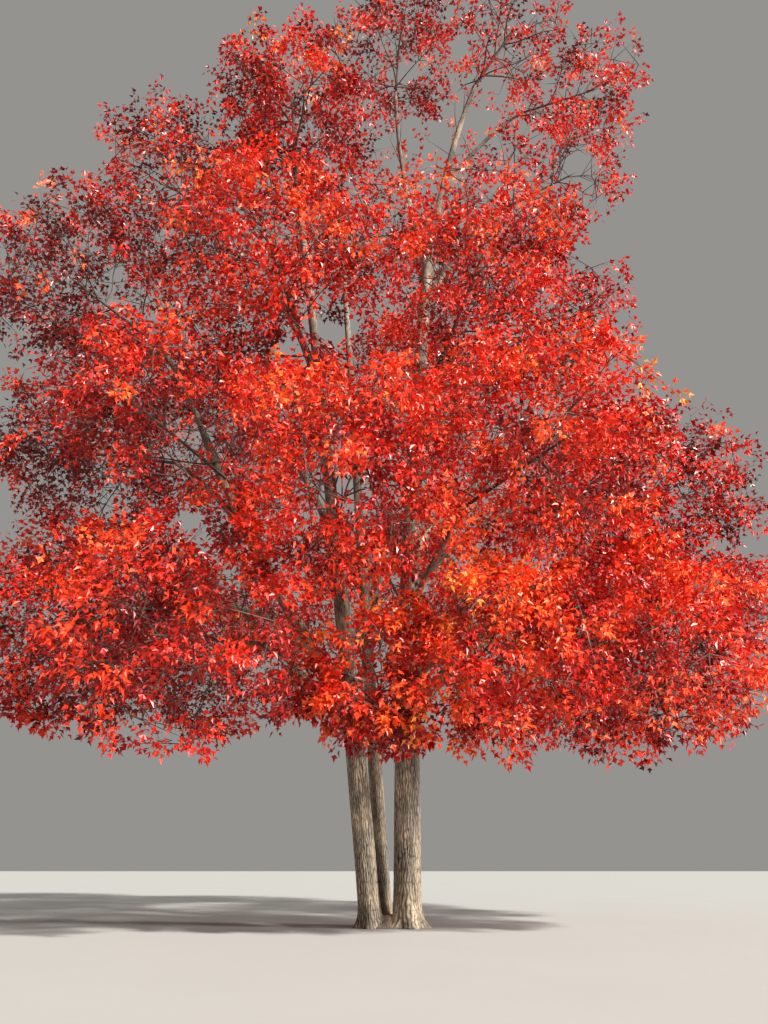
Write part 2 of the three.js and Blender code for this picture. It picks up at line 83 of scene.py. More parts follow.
# Masses of leaves in the order of the frame
MASSES = {
    "low_left_front": mass_of("stem_left", 3.0, (-3.3, -3.7, 4.4), 2.35, 0.42, 1.5),
    "low_left": mass_of("great_bough", 5.0, (-5.6, -1.3, 5.2), 2.5, 0.38, 1.4),
    "low_front": mass_of("stem_left", 3.3, (-0.15, -2.9, 3.75), 1.5, 0.52, 1.3, on_trunk=True),
    "low_right_front": mass_of("stem_right", 3.5, (2.0, -2.9, 4.2), 2.1, 0.56, 1.45),
    "low_right": mass_of("stem_right", 4.3, (4.3, -2.2, 4.5), 2.4, 0.5, 1.35),
    "right_low": mass_of("stem_right", 5.0, (6.0, 0.3, 5.9), 2.5, 0.42),
    "right_mid": mass_of("stem_right", 6.2, (5.6, -0.4, 8.2), 2.5, 0.34, 0.9),
    "front_right_mid": mass_of("stem_right", 5.6, (2.7, -3.2, 7.9), 2.6, 0.52, 1.3),
    "front_mid": mass_of("stem_left", 5.1, (-0.9, -3.8, 7.0), 2.6, 0.5, 1.6),
    "front_left_mid": mass_of("great_bough", 6.1, (-4.2, -2.9, 8.7), 2.4, 0.38, 0.8),
    "left_mid": mass_of("great_bough", 7.0, (-6.5, 0.0, 9.6), 2.5, 0.27, 1.1),
    "far_left": mass_of("great_bough", 8.9, (-6.4, -1.6, 12.7), 2.6, 0.32, 0.85),
    "right_high": mass_of("stem_right", 8.8, (3.4, -0.9, 12.3), 2.3, 0.46, 0.68),
    "front_right_high": mass_of("stem_right", 8.0, (1.6, -2.9, 11.8), 2.6, 0.5, 0.9),
    "front_left_high": mass_of("stem_left", 8.4, (-2.1, -3.0, 12.0), 2.8, 0.46, 1.15),
    "left_high": mass_of("stem_left", 10.6, (-5.0, -0.8, 16.4), 2.6, 0.32, 0.68),
    "top_left": mass_of("stem_left", 16.2, (-2.3, -1.4, 18.2), 2.45, 0.4, on_tip=True),
    "middle_top": mass_of("stem_middle", 16.0, (-0.6, 1.4, 17.3), 2.6, 0.4, 0.42, on_tip=True),
    "right_top": mass_of("stem_right", 13.4, (4.0, -1.0, 16.5), 2.2, 0.42, 0.34),
    "back_top": mass_of("stem_right", 13.9, (2.0, 1.8, 16.4), 2.5, 0.38, 0.5),
    "leader_main": mass_of("stem_right", 15.2, (3.1, -1.0, 21.5), 2.2, 0.44, 0.23, girth=0.21),
    "leader_left": mass_of(
        "stem_right", 14.4, (0.3, -0.8, 21.4), 2.2, 0.42, 0.46, bow=(-0.045, -0.01, 0.02)
    ),
    "leader_right": mass_of("bough_leader_main", 16.9, (4.9, -1.3, 19.2), 1.9, 0.44, 0.23),
    "back_low_right": mass_of("stem_right", 3.4, (4.0, 3.7, 5.8), 2.7, 0.42, 1.3),
    "back_low_left": mass_of("stem_middle", 3.6, (-4.0, 3.6, 6.0), 2.7, 0.42, 1.4),
    "back_mid": mass_of("stem_middle", 5.2, (0.2, 5.2, 8.2), 2.8, 0.44, 1.6),
    "back_right_mid": mass_of("stem_right", 6.9, (4.6, 3.7, 10.4), 2.7, 0.42, 1.45),
    "back_left_mid": mass_of("stem_left", 7.0, (-4.4, 3.3, 11.8), 2.7, 0.36, 1.35),
    "back_high": mass_of("stem_middle", 9.4, (0.8, 3.9, 13.4), 2.8, 0.44, 1.65),
}
CENTRES = np.array([mass["centre"] for mass in MASSES.values()], float)
RADII = np.array([mass["radius"] for mass in MASSES.values()], float)

# Parts of the crown: each has one piece of twigs and one of leaves
CROWN_PARTS = {
    "low_front": ("low_left_front", "low_left", "low_front", "low_right_front", "low_right"),
    "right": ("right_low", "right_mid", "front_right_mid", "right_high", "front_right_high"),
    "left": ("front_mid", "front_left_mid", "left_mid", "far_left", "front_left_high"),
    "top": ("left_high", "top_left", "middle_top", "right_top", "back_top"),
    "leaders": ("leader_main", "leader_left", "leader_right"),
    "back_low": ("back_low_right", "back_low_left", "back_mid"),
    "back_high": ("back_right_mid", "back_left_mid", "back_high"),
}

# The rule by which boughs, stems, twigs and whorls of sprays grow, as in the frame
FLATNESS = 0.85  # a mass's height against its width
SPACE_MARGIN = 0.012  # metres kept clear at the edge of a space
BOW = (0, 0, 0.16)  # of a bough, as shares of its length
BOUGH_GIRTH = 0.068  # as a share of its mass's radius
BOUGH_TAPER = 0.5
ENTRY = 0.78  # share of the radius from its mass's centre at which a bough ends
ENTRY_STEP = 0.01
MASS_STEM_START = 0.08  # metres by which it starts inside what carries it
MASS_STEM_TAPER = (0.96, 0.45)  # thickness at its root and tip against what carries it
MASS_STEM_BEYOND = 0.3  # share of the radius by which it passes the centre
TWIGS = 10
MASS_TURN = 2.4  # radians by which they are turned from one mass to the next
INWARD = -0.4  # a twig that points further in to the tree's middle is left out
CUT_SHORT = 0.7  # and so is one with less than this share of the radius before it
TWIG_SHARE = 0.6  # thickness against the stem's
TWIG_ROOTS = (0.12, 0.97)
SWEEP = 0.45  # share of its length by which a twig's root is set back
EDGE_INSET = (0.1, 0.34)  # shares of the radius
SPRAYS = 5
SPRAY = 0.63  # length as a share of the radius
SPRAY_TILTS = (60, 74, 88, 102, 114)  # degrees, tried one after another
WHORL_WANDER = 1.4
DEAL_WAVES = (12.9898, 78.233, 37.719)
DEAL_SCALE = 43758.5453
DEAL_INSET = 1
DEAL_TURN = 2
DEAL_WANDER = (3, 4, 5)

# Finer twigs: what fills the crown between the twigs of the frame
SEED = 11
FILL_TWIGS = 9  # more twigs tried in each mass, toward its middle and its neighbours
FILL_TURN = 1.1
FILL_REACH = (0.5, 0.93)  # where they end, as shares of the way out
FILL_SHORTEST = 0.3  # of the radius
FILL_SPRAY = 0.46
FILL_GIRTH = 0.8  # as a share of another twig's
TWIG_LIFT = 0.05  # metres by which a twig's middle stands above the straight line
TWIG_BEND = 0.032  # how far it strays to each side, as a share of its length
TWIG_POINT = 0.4  # its thickness at the tip as a share of that at the root

# Sprays, which leave the twigs' tips in whorls, and twigs and boughs in pairs
SIDE_SPRAYS = (0.45, 0.66, 0.87)  # where pairs leave a twig, as shares of its length
SIDE_SPRAY_TILT = 58  # degrees from the twig
SIDE_SPRAY_LENGTH = 0.8  # as a share of a whorl's spray
SIDE_SPRAY_TURN = 0.35  # radians by which a pair strays round its twig
SIDE_SPRAY_WANDER = 0.15  # how far each strays from its way
BOUGH_SPRAYS = (0.42, 0.55, 0.68, 0.8, 0.92)  # where pairs leave a bough
BOUGH_SPRAY_LENGTH = (0.8, 1.4)
BOUGH_SPRAY_TURN = 0.6  # radians from one pair to the next
BOUGH_SPRAY_RISE = 0.15
SHORTER = (1.0, 0.8, 0.6, 0.42)  # a spray that would leave the space is tried at these lengths
SPRAY_WANDER = (0.24, 0.24, 0.168)  # how far sprays stray in x, y and z
SPRAY_FACE_WANDER = 0.3
SPRAY_LENGTHS = (0.82, 1.04)  # against the length that the rule gives
SPRAY_SAG = 0.05
SPRAY_CURL = 0.07  # how far a spray's tip strays to one side, as a share of its length
SPRAY_RADII = (0.011, 0.0035)

# Shoots, which leave the sprays in pairs
SHOOTS = (0.22, 0.41, 0.6, 0.79, 0.97)  # where pairs leave a spray
SHOOT_TURN = 0.55  # radians by which a pair strays round its spray
SHOOT_TILT = 48
SHOOT_TILTS = (0.7, 1.2)  # shares of that tilt
SHOOT_RISE = (0.05, 0.2)  # mean and spread of how far they stand up
SHOOT_LENGTH = 0.36  # as a share of the spray
SHOOT_FIRST = 1.15  # times that at the spray's root
SHOOT_FALL = 0.45  # and less by this at its tip
SHOOT_LENGTHS = (0.75, 1.15)
SHOOT_RADIUS = 0.0035
END_SHOOT_LENGTH = 0.7  # of the shoot that goes on from the spray
END_SHOOT_DROOP = 0.1
SHOOT_OUTSIDE = 0.06  # metres by which a shoot may stand out of its mass's space

# Leaves, which leave the shoots in pairs
LEAF_PAIRS = (0.34, 0.67, 1.0)  # where pairs leave a shoot
LEAF_TILT = 58
LEAF_SIDE_WANDER = 0.4  # how far the side that the pairs are turned from strays from upright
LEAF_TURN = 0.3  # radians by which each strays round its shoot
STALK_RISE = 0.1
STALK_LENGTHS = (0.7, 1.3)  # against the mean
LEAF_DROOP = (0.1, 1.0)
LEAF_TIP_WANDER = 0.26
LEAF_FACE_OUT = 0.35  # how far the faces lean out from the shoot
LEAF_WANDER = 0.62  # how far the faces stray from level
LEAF_LENGTHS = (0.72, 1.15)  # against the mean
LEAF_OUTSIDE = 0.12  # divided by its mass's radius, how far a leaf may stand out of the space

# How the shoots thin out, and which tints the leaves have
EDGE_DEPTH = 0.3  # they thin out over this share of the radius toward the edge of the mass
EDGE_FILL = 0.62  # share of the shoots that are left at the very edge
TINT_SPREAD = 0.6
TINT_EVENNESS = 1.4  # at 1 every tint of the spread is as likely, above 1 the middle ones are likelier
PAINTED_LIGHT_RISE = 0.12  # painted light: a mass's own top is this much warmer and lighter than its middle
PAINTED_SHADE_DEPTH = 0.28  # painted shade: and its heart this much deeper and darker than its edge

# Clumps: slow waves across each other, shorter up and down, so that the crown lies in layers
CLUMP_WAVES = 8
CLUMP_LENGTHS = (1.1, 2.4)  # metres from one clump to the next
CLUMP_FLATNESS = 1.7
CLUMP_EDGE = (-0.55, 0.45)  # below the first is a gap, above the second a full clump
CLUMP_GAP = 0.3  # share of the shoots that are left in a gap

# Gaps of the crown, where stems, great bough or sky show: the ends of the middle line and the radius
GAPS = {
    "stems": ((-0.4, -5.5, 3.64), (-0.53, -0.5, 4.87), 0.82),
    "great_bough": ((-3.05, -5, 6.93), (-5.45, 4, 11.8), 1.1),
    "left": ((-4.13, -5, 5.92), (-7.44, 4, 9.94), 0.6),
    "low_left": ((-2.31, -5, 4.74), (-4.14, 4, 7.81), 0.45),
    "low_left_under": ((-2.57, -6, 2.8), (-3.82, -1, 3.69), 0.78),
    "main_stem": ((0.72, -4.5, 10.7), (1.0, -0.2, 14.4), 0.42),
    "upper_right": ((2.4, -4, 13.8), (3.9, 3, 21.2), 0.62),
    "far_upper_right": ((3.8, -4, 13.8), (6.1, 3, 21.2), 0.62),
    "right": ((4.0, -4, 11.7), (6.4, 3, 18.0), 0.75),
}
GAP_CORE = 0.55  # share of its radius within which a gap is clearest
GAP_FILL = 0.08  # share of the shoots that are left there

# Outline of a leaf: across, along and up, as shares of its length, from its base round by the right lobe
LEAF_OUTLINE = np.array([
    (0.0, 0.0, 0.0),
    (0.48, 0.36, 0.06),
    (0.21, 0.47, 0.07),
    (0.0, 1.0, -0.14),
    (-0.21, 0.47, 0.07),
    (-0.48, 0.36, 0.06),
])
LEAF_FACES = np.array([(0, 1, 2), (0, 2, 3), (0, 3, 4), (0, 4, 5)])
STALK_WIDTH = 0.004

# Fineness of the curves and meshes
ARC_STEPS = 200
HALVINGS = 40
STEM_COLUMNS = 112
FOOT_ROWS = 26
FINE_STEM_TOP = 6.0
FINE_STEM_STEP = 0.03
STEM_STEP = 0.12
BOUGH_STEP = 0.06
BOUGH_COLUMNS = 22
MOUND_ROWS = 8
MOUND_COLUMNS = 64
TWIG_RINGS = 9
SPRAY_RINGS = (0.0, 0.4, 1.0)
MASS_STEM_SIDES = 6
TWIG_SIDES = 5
THIN_SIDES = 3
MOST_FACES_AT_A_POINT = 12  # where more meet is the middle of a flat end
UPRIGHT = 0.9  # a twig that rises or falls by more of its length is taken as upright

UP = np.array((0.0, 0.0, 1.0))
LEAST_LENGTH = 1e-9
STRAIGHT_SIDE = (0, 1e-6, 0)  # what gives a straight bough a side

# Waves of a surface: how strong, how many round it, radians for each unit of its run and for each limb
GROOVE_WAVES = ((2.6, 2, 1.9, 1), (1.9, -3, 5.3, 2), (1.2, 5, 12.7, 0), (0.8, -9, 27.1, 1))
STEM_WAVES = ((0.025, 3, 0.9, 1), (0.015, 2, -1.7, 0))
BOUGH_WAVES = ((0.05, 2, 2.1, 1), (0.03, 3, -5.3, 0))
MOUND_WAVES = ((0.06, 5, 3, 0),)
MOUND_BUMPS = ((0.01, 7, 0, 0),)

# Bark relief: its values run from 0 in a groove to about 1 on a plate
GROOVE_POWER = 0.5  # the lower, the narrower the grooves are
PLATE_LENGTH = 0.17
PLATE_STAGGER = (0.9, 7.1)  # shift of the cracks in plate lengths, and its rate from plate to plate
CRACK_WANDER = (0.6, 2.3)  # and another, with its rate along the limb
CRACK_POWER = 0.35
CRACK_FLOOR = 0.45  # value in a crack
PLATE_LIFT = 0.12  # share by which plates lie higher or lower
PLATE_LIFT_WAVES = (11.3, 5.7)  # rates of that from plate to plate, round and along the limb
BARK_TOP = 1.1  # highest value
BARK_LEVEL = 0.85  # value that lies at the limb's own radius
END_BARK = 1.0  # value at the ends of a limb
MOUND_BARK = 0.75
COLLAR = 0.55  # how much wider a bough is at its fork
COLLAR_FALL = 3.2  # root radii over which that grows nearly three times less
FULL_PLATES_RADIUS = 0.2  # a bough of this radius has as many plates round it as a stem
FEWEST_PLATES = 5
BOUGH_FURROWS = 2.5  # their depth against the stems', per metre of the bough's radius

# Looks: noise is named by its node's settings, stops are places on a ramp
PATCHES = dict(scale=3.2, stretch=(1, 1, 0.45), detail=5.0)
CRACKS = dict(scale=46.0, stretch=(1, 1, 0.16), detail=8.0, roughness=0.72)
GROOVE_STOPS = (0.35, 0.72, 0.95)
PATCH_RAMP = ((0.42, (0.55, 0.55, 0.55)), (0.66, (1.25, 1.18, 1.05)))
CRACK_RAMP = ((0.36, (0.45, 0.42, 0.4)), (0.6, (1.0, 1.0, 1.0)))
SMOOTH_STOPS = (0.3, 0.7)
SMOOTH_SHADE = 0.7  # darker patches of the smooth bark against its colour
SMOOTH_AND_SHADE_TOP = 9.0  # height from which on the bark is as smooth and dark as it gets; the darkening is partly painted shade
SMOOTH_AND_SHADE_SHARE = 0.85  # how much of the smooth bark's colour it has there
BARK_BUMP = 0.02
TWIG_PATCHES = dict(scale=5.0, detail=4.0)
TWIG_STOPS = (0.38, 0.7)
TWIG_PALER = 1.8  # a twig's paler stretches against its colour
TWIG_GRAIN = dict(scale=60.0, stretch=(1, 1, 0.4))
TWIG_BUMP = (0.3, 0.004)
FLOOR_PATCHES = dict(scale=0.4, detail=3.0)
FLOOR_STOPS = (0.3, 0.7)
FLOOR_SHADE = 0.97

# Barks: the height from which each turns smooth and darker, partly as painted shade of the crown, and the
# strength of its fine bumps
BARKS = {"furrowed bark": (4.0, 0.6), "bough bark": (2.0, 0.3)}

# Finishes: roughness and gloss
BARK_FINISH = (0.88, 0.25)
TWIG_FINISH = (0.8, 0.25)
LEAF_FINISH = (0.36, 0.38)
FLOOR_FINISH = (0.9, 0.5)

# Stage
FLOOR_CORNERS = ((-1, -1), (1, -1), (1, 1), (-1, 1))
KEY_WIDTH = 4  # degrees
FILL_WIDTH = 8
WARM_LIGHT = (1.0, 0.965, 0.9)
SENSOR_WIDTH = 36.0
EYE_SIDE = -0.08  # metres to the right of the tree's foot


# Small sums on arrays of points and directions

def unit(vectors):
    """Each vector divided by its length."""
    vectors = np.asarray(vectors, float)
    return vectors / np.maximum(np.linalg.norm(vectors, axis=-1, keepdims=True), LEAST_LENGTH)


def dot(a, b):
    """Sum of the products of the three coordinates, kept as a column."""
    return (a * b).sum(-1, keepdims=True)


def square_to(vectors, axis):
    """Each vector less its part along the axis, at length one."""
    return unit(vectors - dot(vectors, axis) * axis)


def turned(vectors, axis, angle):
    """Vectors turned about an axis: v cos a + (axis x v) sin a + axis (axis . v)(1 - cos a)."""
    cosine = np.cos(angle)[..., None]
    sine = np.sin(angle)[..., None]
    return vectors * cosine + np.cross(axis, vectors) * sine + axis * dot(axis, vectors) * (1 - cosine)


def mix(a, b, share):
    """From a to b by a share."""
    return a + (b - a) * share


def angles_round(columns):
    """One row of angles in even steps once round."""
    return np.linspace(0, math.tau, columns, endpoint=False)[None]


def wave_sum(waves, angle, run, order=0):
    """Sum of strength * sin(turns * angle + rise * run + step * order) over rows of those four numbers."""
    return sum(
        strength * np.sin(turns * angle + rise * run + step * order)
        for strength, turns, rise, step in waves
    )


def dealt(mass, twig, use):
    """The part behind the point of scale * sin(12.9898 mass + 78.233 twig + 37.719 use)."""
    wave = DEAL_SCALE * np.sin(mass * DEAL_WAVES[0] + twig * DEAL_WAVES[1] + use * DEAL_WAVES[2])
    return wave - np.floor(wave)


def kept_of(rows, kept):
    """The rows of each array for which kept is true."""
    return {key: value[kept] for key, value in rows.items()}


def stacked(parts):
    """Several sets of arrays as one set, each array after the last."""
    return {key: np.concatenate([part[key] for part in parts]) for key in parts[0]}


# Limbs

class Curve:
    """A quadratic curve (1-t)^2 a + 2t(1-t) b + t^2 c, read by shares of its length."""

    def __init__(self, start, control, end):
        self.start, self.control, self.end = (np.asarray(p, float) for p in (start, control, end))
        self.ts = np.linspace(0, 1, ARC_STEPS + 1)
        steps = np.linalg.norm(np.diff(self.at_t(self.ts), axis=0), axis=1)
        self.run = np.concatenate([[0], np.cumsum(steps)])
        self.length = self.run[-1]

    def at_t(self, t):
        """The point at t by the curve's formula."""
        t = np.asarray(t, float)[..., None]
        return (1 - t) ** 2 * self.start + 2 * t * (1 - t) * self.control + t ** 2 * self.end

    def t_of(self, share):
        """The t at which a share of the length is run."""
        return np.interp(np.asarray(share, float) * self.length, self.run, self.ts)

    def at(self, share):
        """The point at a share of the length."""
        return self.at_t(self.t_of(share))

    def tangent(self, share):
        """Half the slope, (1-t)(b - a) + t(c - b), at length one."""
        t = self.t_of(share)[..., None]
        return unit((1 - t) * (self.control - self.start) + t * (self.end - self.control))

    def share_at_height(self, height):
        """The share of the length at which the curve has climbed to a height."""
        heights = self.at_t(self.ts)[:, 2]
        return np.interp(height, heights, self.run / self.length)

    def stretch(self, start, end):
        """The part of the curve between two shares, as a curve of its own."""
        first, last = self.t_of(start), self.t_of(end)
        slope = 2 * (1 - first) * (self.control - self.start) + 2 * first * (self.end - self.control)
        begin = self.at_t(first)
        return Curve(begin, begin + slope * (last - first) / 2, self.at_t(last))


class Limb:
    """A curve and a radius that runs evenly from its root to its tip."""

    def __init__(self, curve, root_radius, tip_radius):
        self.curve = curve
        self.root_radius = root_radius
        self.tip_radius = tip_radius

    def radius(self, share):
        """From the root's radius to the tip's by a share."""
        return mix(self.root_radius, self.tip_radius, share)


def bowed(start, end, bow):
    """A curve whose middle stands off the straight line by the bow times its length."""
    start, end = np.asarray(start, float), np.asarray(end, float)
    control = (start + end) / 2 + 2 * np.asarray(bow, float) * np.linalg.norm(end - start)
    return Curve(start, control, end)


def stem_centre(stem, height):
    """x and y are foot + lean z + bend z z, and z is the height."""
    z = np.asarray(height, float)[..., None]
    flat = np.array(stem["foot"]) + np.array(stem["lean"]) * z + np.array(stem["bend"]) * z * z
    return np.concatenate([flat, z], axis=-1)


def stem_radius(stem, height):
    """Runs evenly from half the breast thickness at breast height to half the tip's at the top."""
    share = (height - BREAST_HEIGHT) / (stem["top"] - BREAST_HEIGHT)
    return mix(stem["breast"], stem["tip"], share) / 2


def power(points):
    """Squared distance from each mass's centre, with z divided by the flatness, less its squared radius."""
    apart = (points[..., None, :] - CENTRES) / (1, 1, FLATNESS)
    return (apart ** 2).sum(-1) - RADII ** 2


def in_space(order, points, slack=0.0):
    """True where the mass's own power is below zero and below that of every other mass."""
    powers = power(points)
    own = powers[..., order] + 2 * (SPACE_MARGIN - slack) * RADII[order]
    others = np.delete(powers, order, axis=-1).min(-1)
    return (own < 0) & (own < others + 2 * slack * RADII[order])


def grow_limbs():
    """Every limb of the frame by name, and the stem of each mass by the mass's name."""
    limbs = {}
    for name, stem in STEMS.items():
        low, middle, top = stem_centre(stem, (0, stem["top"] / 2, stem["top"]))
        whole = Curve(low, 2 * middle - (low + top) / 2, top)
        curve = whole.stretch(whole.share_at_height(FOOT_HEIGHT / 2), 1)
        limbs[name] = Limb(curve, stem_radius(stem, FOOT_HEIGHT / 2), stem["tip"] / 2)
    host = limbs[GREAT_BOUGH["host"]].curve
    root = host.at(host.share_at_height(GREAT_BOUGH["fork"]))
    curve = bowed(root, GREAT_BOUGH["tip"], GREAT_BOUGH["bow"])
    limbs["great_bough"] = Limb(curve, GREAT_BOUGH["girth"] / 2, GREAT_BOUGH["tip_girth"] / 2)
    mass_stems = {}
    for order, (name, mass) in enumerate(MASSES.items()):
        host = limbs[mass["host"]]
        at_tip = mass.get("on_tip", False)
        root = host.curve.at(1 if at_tip else host.curve.share_at_height(mass["fork"]))
        whole = bowed(root, mass["centre"], mass.get("bow", BOW))
        beyond = MASS_STEM_BEYOND * mass["radius"] * whole.tangent(1)
        end = CENTRES[order] + beyond
        radius = mass.get("girth", BOUGH_GIRTH * mass["radius"]) / 2
        if at_tip:
            radius = host.tip_radius
        elif not mass.get("on_trunk", False):
            shares = np.arange(1, 0, -ENTRY_STEP)
            points = whole.at(shares)
            edge = (ENTRY ** 2 - 1) * mass["radius"] ** 2
            inside = (power(points)[:, order] < edge) & in_space(order, points)
            entry = shares[np.argmin(inside)]
            limbs[f"bough_{name}"] = Limb(whole.stretch(0, entry), radius, radius * BOUGH_TAPER)
            root = limbs[f"bough_{name}"].curve.at(1)
            radius *= BOUGH_TAPER
        start = root - unit(end - root) * MASS_STEM_START
        straight = Curve(start, (start + end) / 2, end)
        mass_stems[name] = Limb(straight, radius * MASS_STEM_TAPER[0], radius * MASS_STEM_TAPER[1])
    return limbs, mass_stems


# Twigs, sprays, shoots and leaves

def spread(count):
    """Even directions by the golden angle: height 1 - (2k+1)/count, turned by k golden angles."""
    order = np.arange(count)
    height = 1 - (2 * order + 1) / count
    out = np.sqrt(1 - height ** 2)
    angle = math.pi * (3 - math.sqrt(5)) * order
    return np.stack([np.cos(angle) * out, np.sin(angle) * out, height], axis=-1)


def reach_of(order, directions):
    """Furthest distance from the centre at which each direction is still in the space, by halving."""
    low = np.zeros(len(directions))
    high = np.full(len(directions), RADII[order])
    for _ in range(HALVINGS):
        middle = (low + high) / 2
        inside = in_space(order, CENTRES[order] + directions * middle[:, None])
        low = np.where(inside, middle, low)
        high = np.where(inside, high, middle)
    return low


def twig_rows(order, stem, outward, tip, turn):
    """Twigs that run to the given tips. Each leaves the stem at the point nearest to its tip, set back by a
    share of its length, and faces out between its way out and its own heading."""
    line = stem.curve
    way = unit(line.end - line.start)
    nearest = np.clip((tip - line.end) @ way / line.length + 1, 0, 1)
    apart = np.linalg.norm(line.at(nearest) - tip, axis=-1)
    share = np.clip(nearest - SWEEP * apart / line.length, *TWIG_ROOTS)
    root = line.at(share)
    heading = unit(tip - root)
    count = np.arange(len(tip))
    wander = np.stack([dealt(order, count, use) - 0.5 for use in DEAL_WANDER], axis=-1)
    axis = unit(outward + heading + WHORL_WANDER * wander)
    radius = stem.radius(share) * TWIG_SHARE
    return dict(root=root, tip=tip, heading=heading, axis=axis, turn=turn, radius=radius)


def twigs_of(order, stem):
    """The twigs of one mass by the frame's rule: each ends just inside the edge of the mass's space."""
    count = np.arange(TWIGS)
    outward = turned(spread(TWIGS), UP, np.full(TWIGS, order * MASS_TURN))
    away = unit(CENTRES[order] * (1, 1, 0))
    reach = reach_of(order, outward)
    inset = mix(*EDGE_INSET, dealt(order, count, DEAL_INSET) ** 2) * RADII[order]
    tip = CENTRES[order] + outward * (reach - inset)[:, None]
    kept = (outward @ away >= INWARD) & (reach >= CUT_SHORT * RADII[order]) & in_space(order, tip)
    return kept_of(twig_rows(order, stem, outward, tip, dealt(order, count, DEAL_TURN)), kept)


def fill_twigs_of(order, stem, rng):
    """More twigs by the same rule, in directions of their own, which end part of the way out."""
    outward = turned(spread(FILL_TWIGS), UP, np.full(FILL_TWIGS, order * MASS_TURN + FILL_TURN))
    reach = reach_of(order, outward)
    tip = CENTRES[order] + outward * (reach * rng.uniform(*FILL_REACH, FILL_TWIGS))[:, None]
    twigs = twig_rows(order, stem, outward, tip, rng.random(FILL_TWIGS))
    twigs["radius"] = twigs["radius"] * FILL_GIRTH
    return kept_of(twigs, reach >= FILL_SHORTEST * RADII[order])


def twig_at(twigs, share):
    """A point on a twig's axis: straight + lift sin(pi s) up + bend length sin(2 pi s) to one side."""
    line = twigs["tip"] - twigs["root"]
    side = turned(square_to(UP, twigs["heading"]), twigs["heading"], math.tau * twigs["turn"])
    straight = twigs["root"] + line * share
    bend = TWIG_BEND * np.linalg.norm(line, axis=1, keepdims=True) * math.sin(math.tau * share)
    return straight + TWIG_LIFT * math.sin(math.pi * share) * UP + bend * side


def first_that_fits(order, roots, ways, lengths):
    """For each spray the first try whose tip stays in the space; ways is tries x sprays x 3."""
    fits = in_space(order, roots + ways * lengths[..., None])
    first = np.argmax(fits, axis=0)
    found = fits.any(axis=0)
    index = np.arange(ways.shape[1])
    return ways[first, index], lengths[first, index], found


def whorl_sprays(order, twigs, length):
    """Five sprays in a whorl at each twig's tip: the whorl's axis times cos tilt plus, across it, sin
    tilt, with the first tilt that keeps the spray's tip in the space."""
    count = len(twigs["tip"])
    axis = np.repeat(twigs["axis"], SPRAYS, axis=0)
    place = np.tile(np.arange(SPRAYS), count) + np.repeat(twigs["turn"], SPRAYS)
    across = turned(square_to(-UP, axis), axis, math.tau / SPRAYS * place)
    tilt = np.radians(SPRAY_TILTS)[:, None, None]
    roots = np.repeat(twigs["tip"], SPRAYS, axis=0)
    ways = axis * np.cos(tilt) + across * np.sin(tilt)
    way, size, found = first_that_fits(order, roots, ways, np.full(ways.shape[:2], length))
    return dict(root=roots[found], way=way[found], length=size[found], face=axis[found])


def side_sprays(order, twigs, length, rng):
    """Pairs of sprays along each twig, opposite each other, each pair about square to the last: the
    heading times cos tilt plus, out from the twig, sin tilt."""
    count = len(twigs["tip"])
    heading = twigs["heading"]
    side = square_to(-UP, heading)
    steep = math.radians(SIDE_SPRAY_TILT)
    lengths = np.outer(SHORTER, np.full(count, SIDE_SPRAY_LENGTH * length))
    parts = []
    for place, share in enumerate(SIDE_SPRAYS):
        root = twig_at(twigs, share)
        turn = math.tau * twigs["turn"] + place * math.pi / 2 + rng.normal(0, SIDE_SPRAY_TURN, count)
        for half in (0, math.pi):
            out = turned(side, heading, turn + half)
            wander = rng.normal(0, SIDE_SPRAY_WANDER, (count, 3))
            way = unit(heading * math.cos(steep) + out * math.sin(steep) + wander)
            ways = np.repeat(way[None], len(SHORTER), axis=0)
            way, size, found = first_that_fits(order, root, ways, lengths)
            face = unit(heading[found] + UP)
            parts.append(dict(root=root[found], way=way[found], length=size[found], face=face))
    return stacked(parts)


def bough_sprays(bough, rng):
    """Pairs of sprays along the outer part of a bough, opposite each other, each pair turned a little
    further round: the tangent times cos tilt plus, out from the bough, sin tilt, and a little up."""
    share = np.repeat(np.array(BOUGH_SPRAYS), 2)
    pair = np.repeat(np.arange(len(BOUGH_SPRAYS)), 2)
    half = np.tile((0, math.pi), len(BOUGH_SPRAYS))
    tangent = bough.curve.tangent(share)
    turn = rng.uniform(0, math.pi) + pair * (math.pi + BOUGH_SPRAY_TURN) + half
    out = turned(square_to(UP, tangent), tangent, turn)
    steep = math.radians(SIDE_SPRAY_TILT)
    way = unit(tangent * math.cos(steep) + out * math.sin(steep) + BOUGH_SPRAY_RISE * UP)
    length = rng.uniform(*BOUGH_SPRAY_LENGTH, len(share))
    return dict(root=bough.curve.at(share), way=way, length=length, face=unit(tangent + UP))


def varied(sprays, rng):
    """The sprays with a little of their own in way, face and length, and a curl to one side."""
    way = unit(sprays["way"] + rng.normal(0, SPRAY_WANDER, sprays["way"].shape))
    face = square_to(sprays["face"] + UP + rng.normal(0, SPRAY_FACE_WANDER, way.shape), way)
    length = sprays["length"] * rng.uniform(*SPRAY_LENGTHS, len(way))
    curl = rng.normal(0, SPRAY_CURL, (len(way), 1))
    return dict(root=sprays["root"], way=way, face=face, length=length, curl=curl)


def sprays_of(order, twigs, fill_twigs, bough, rng):
    """Every spray of a mass, those of its twigs before those of its bough, and the count of the first."""
    grown = []
    for some, share in ((twigs, SPRAY), (fill_twigs, FILL_SPRAY)):
        length = RADII[order] * share
        grown.append(whorl_sprays(order, some, length))
        grown.append(side_sprays(order, some, length, rng))
    on_twigs = sum(len(part["root"]) for part in grown)
    if bough:
        grown.append(bough_sprays(bough, rng))
    return varied(stacked(grown), rng), on_twigs


def along(spray, share):
    """A point on a spray's axis: root + way s length + (side curl - up sag) s^2 length."""
    run = spray["length"][:, None]
    aside = np.cross(spray["face"], spray["way"]) * spray["curl"] - UP * SPRAY_SAG
    return spray["root"] + spray["way"] * share * run + aside * share ** 2 * run


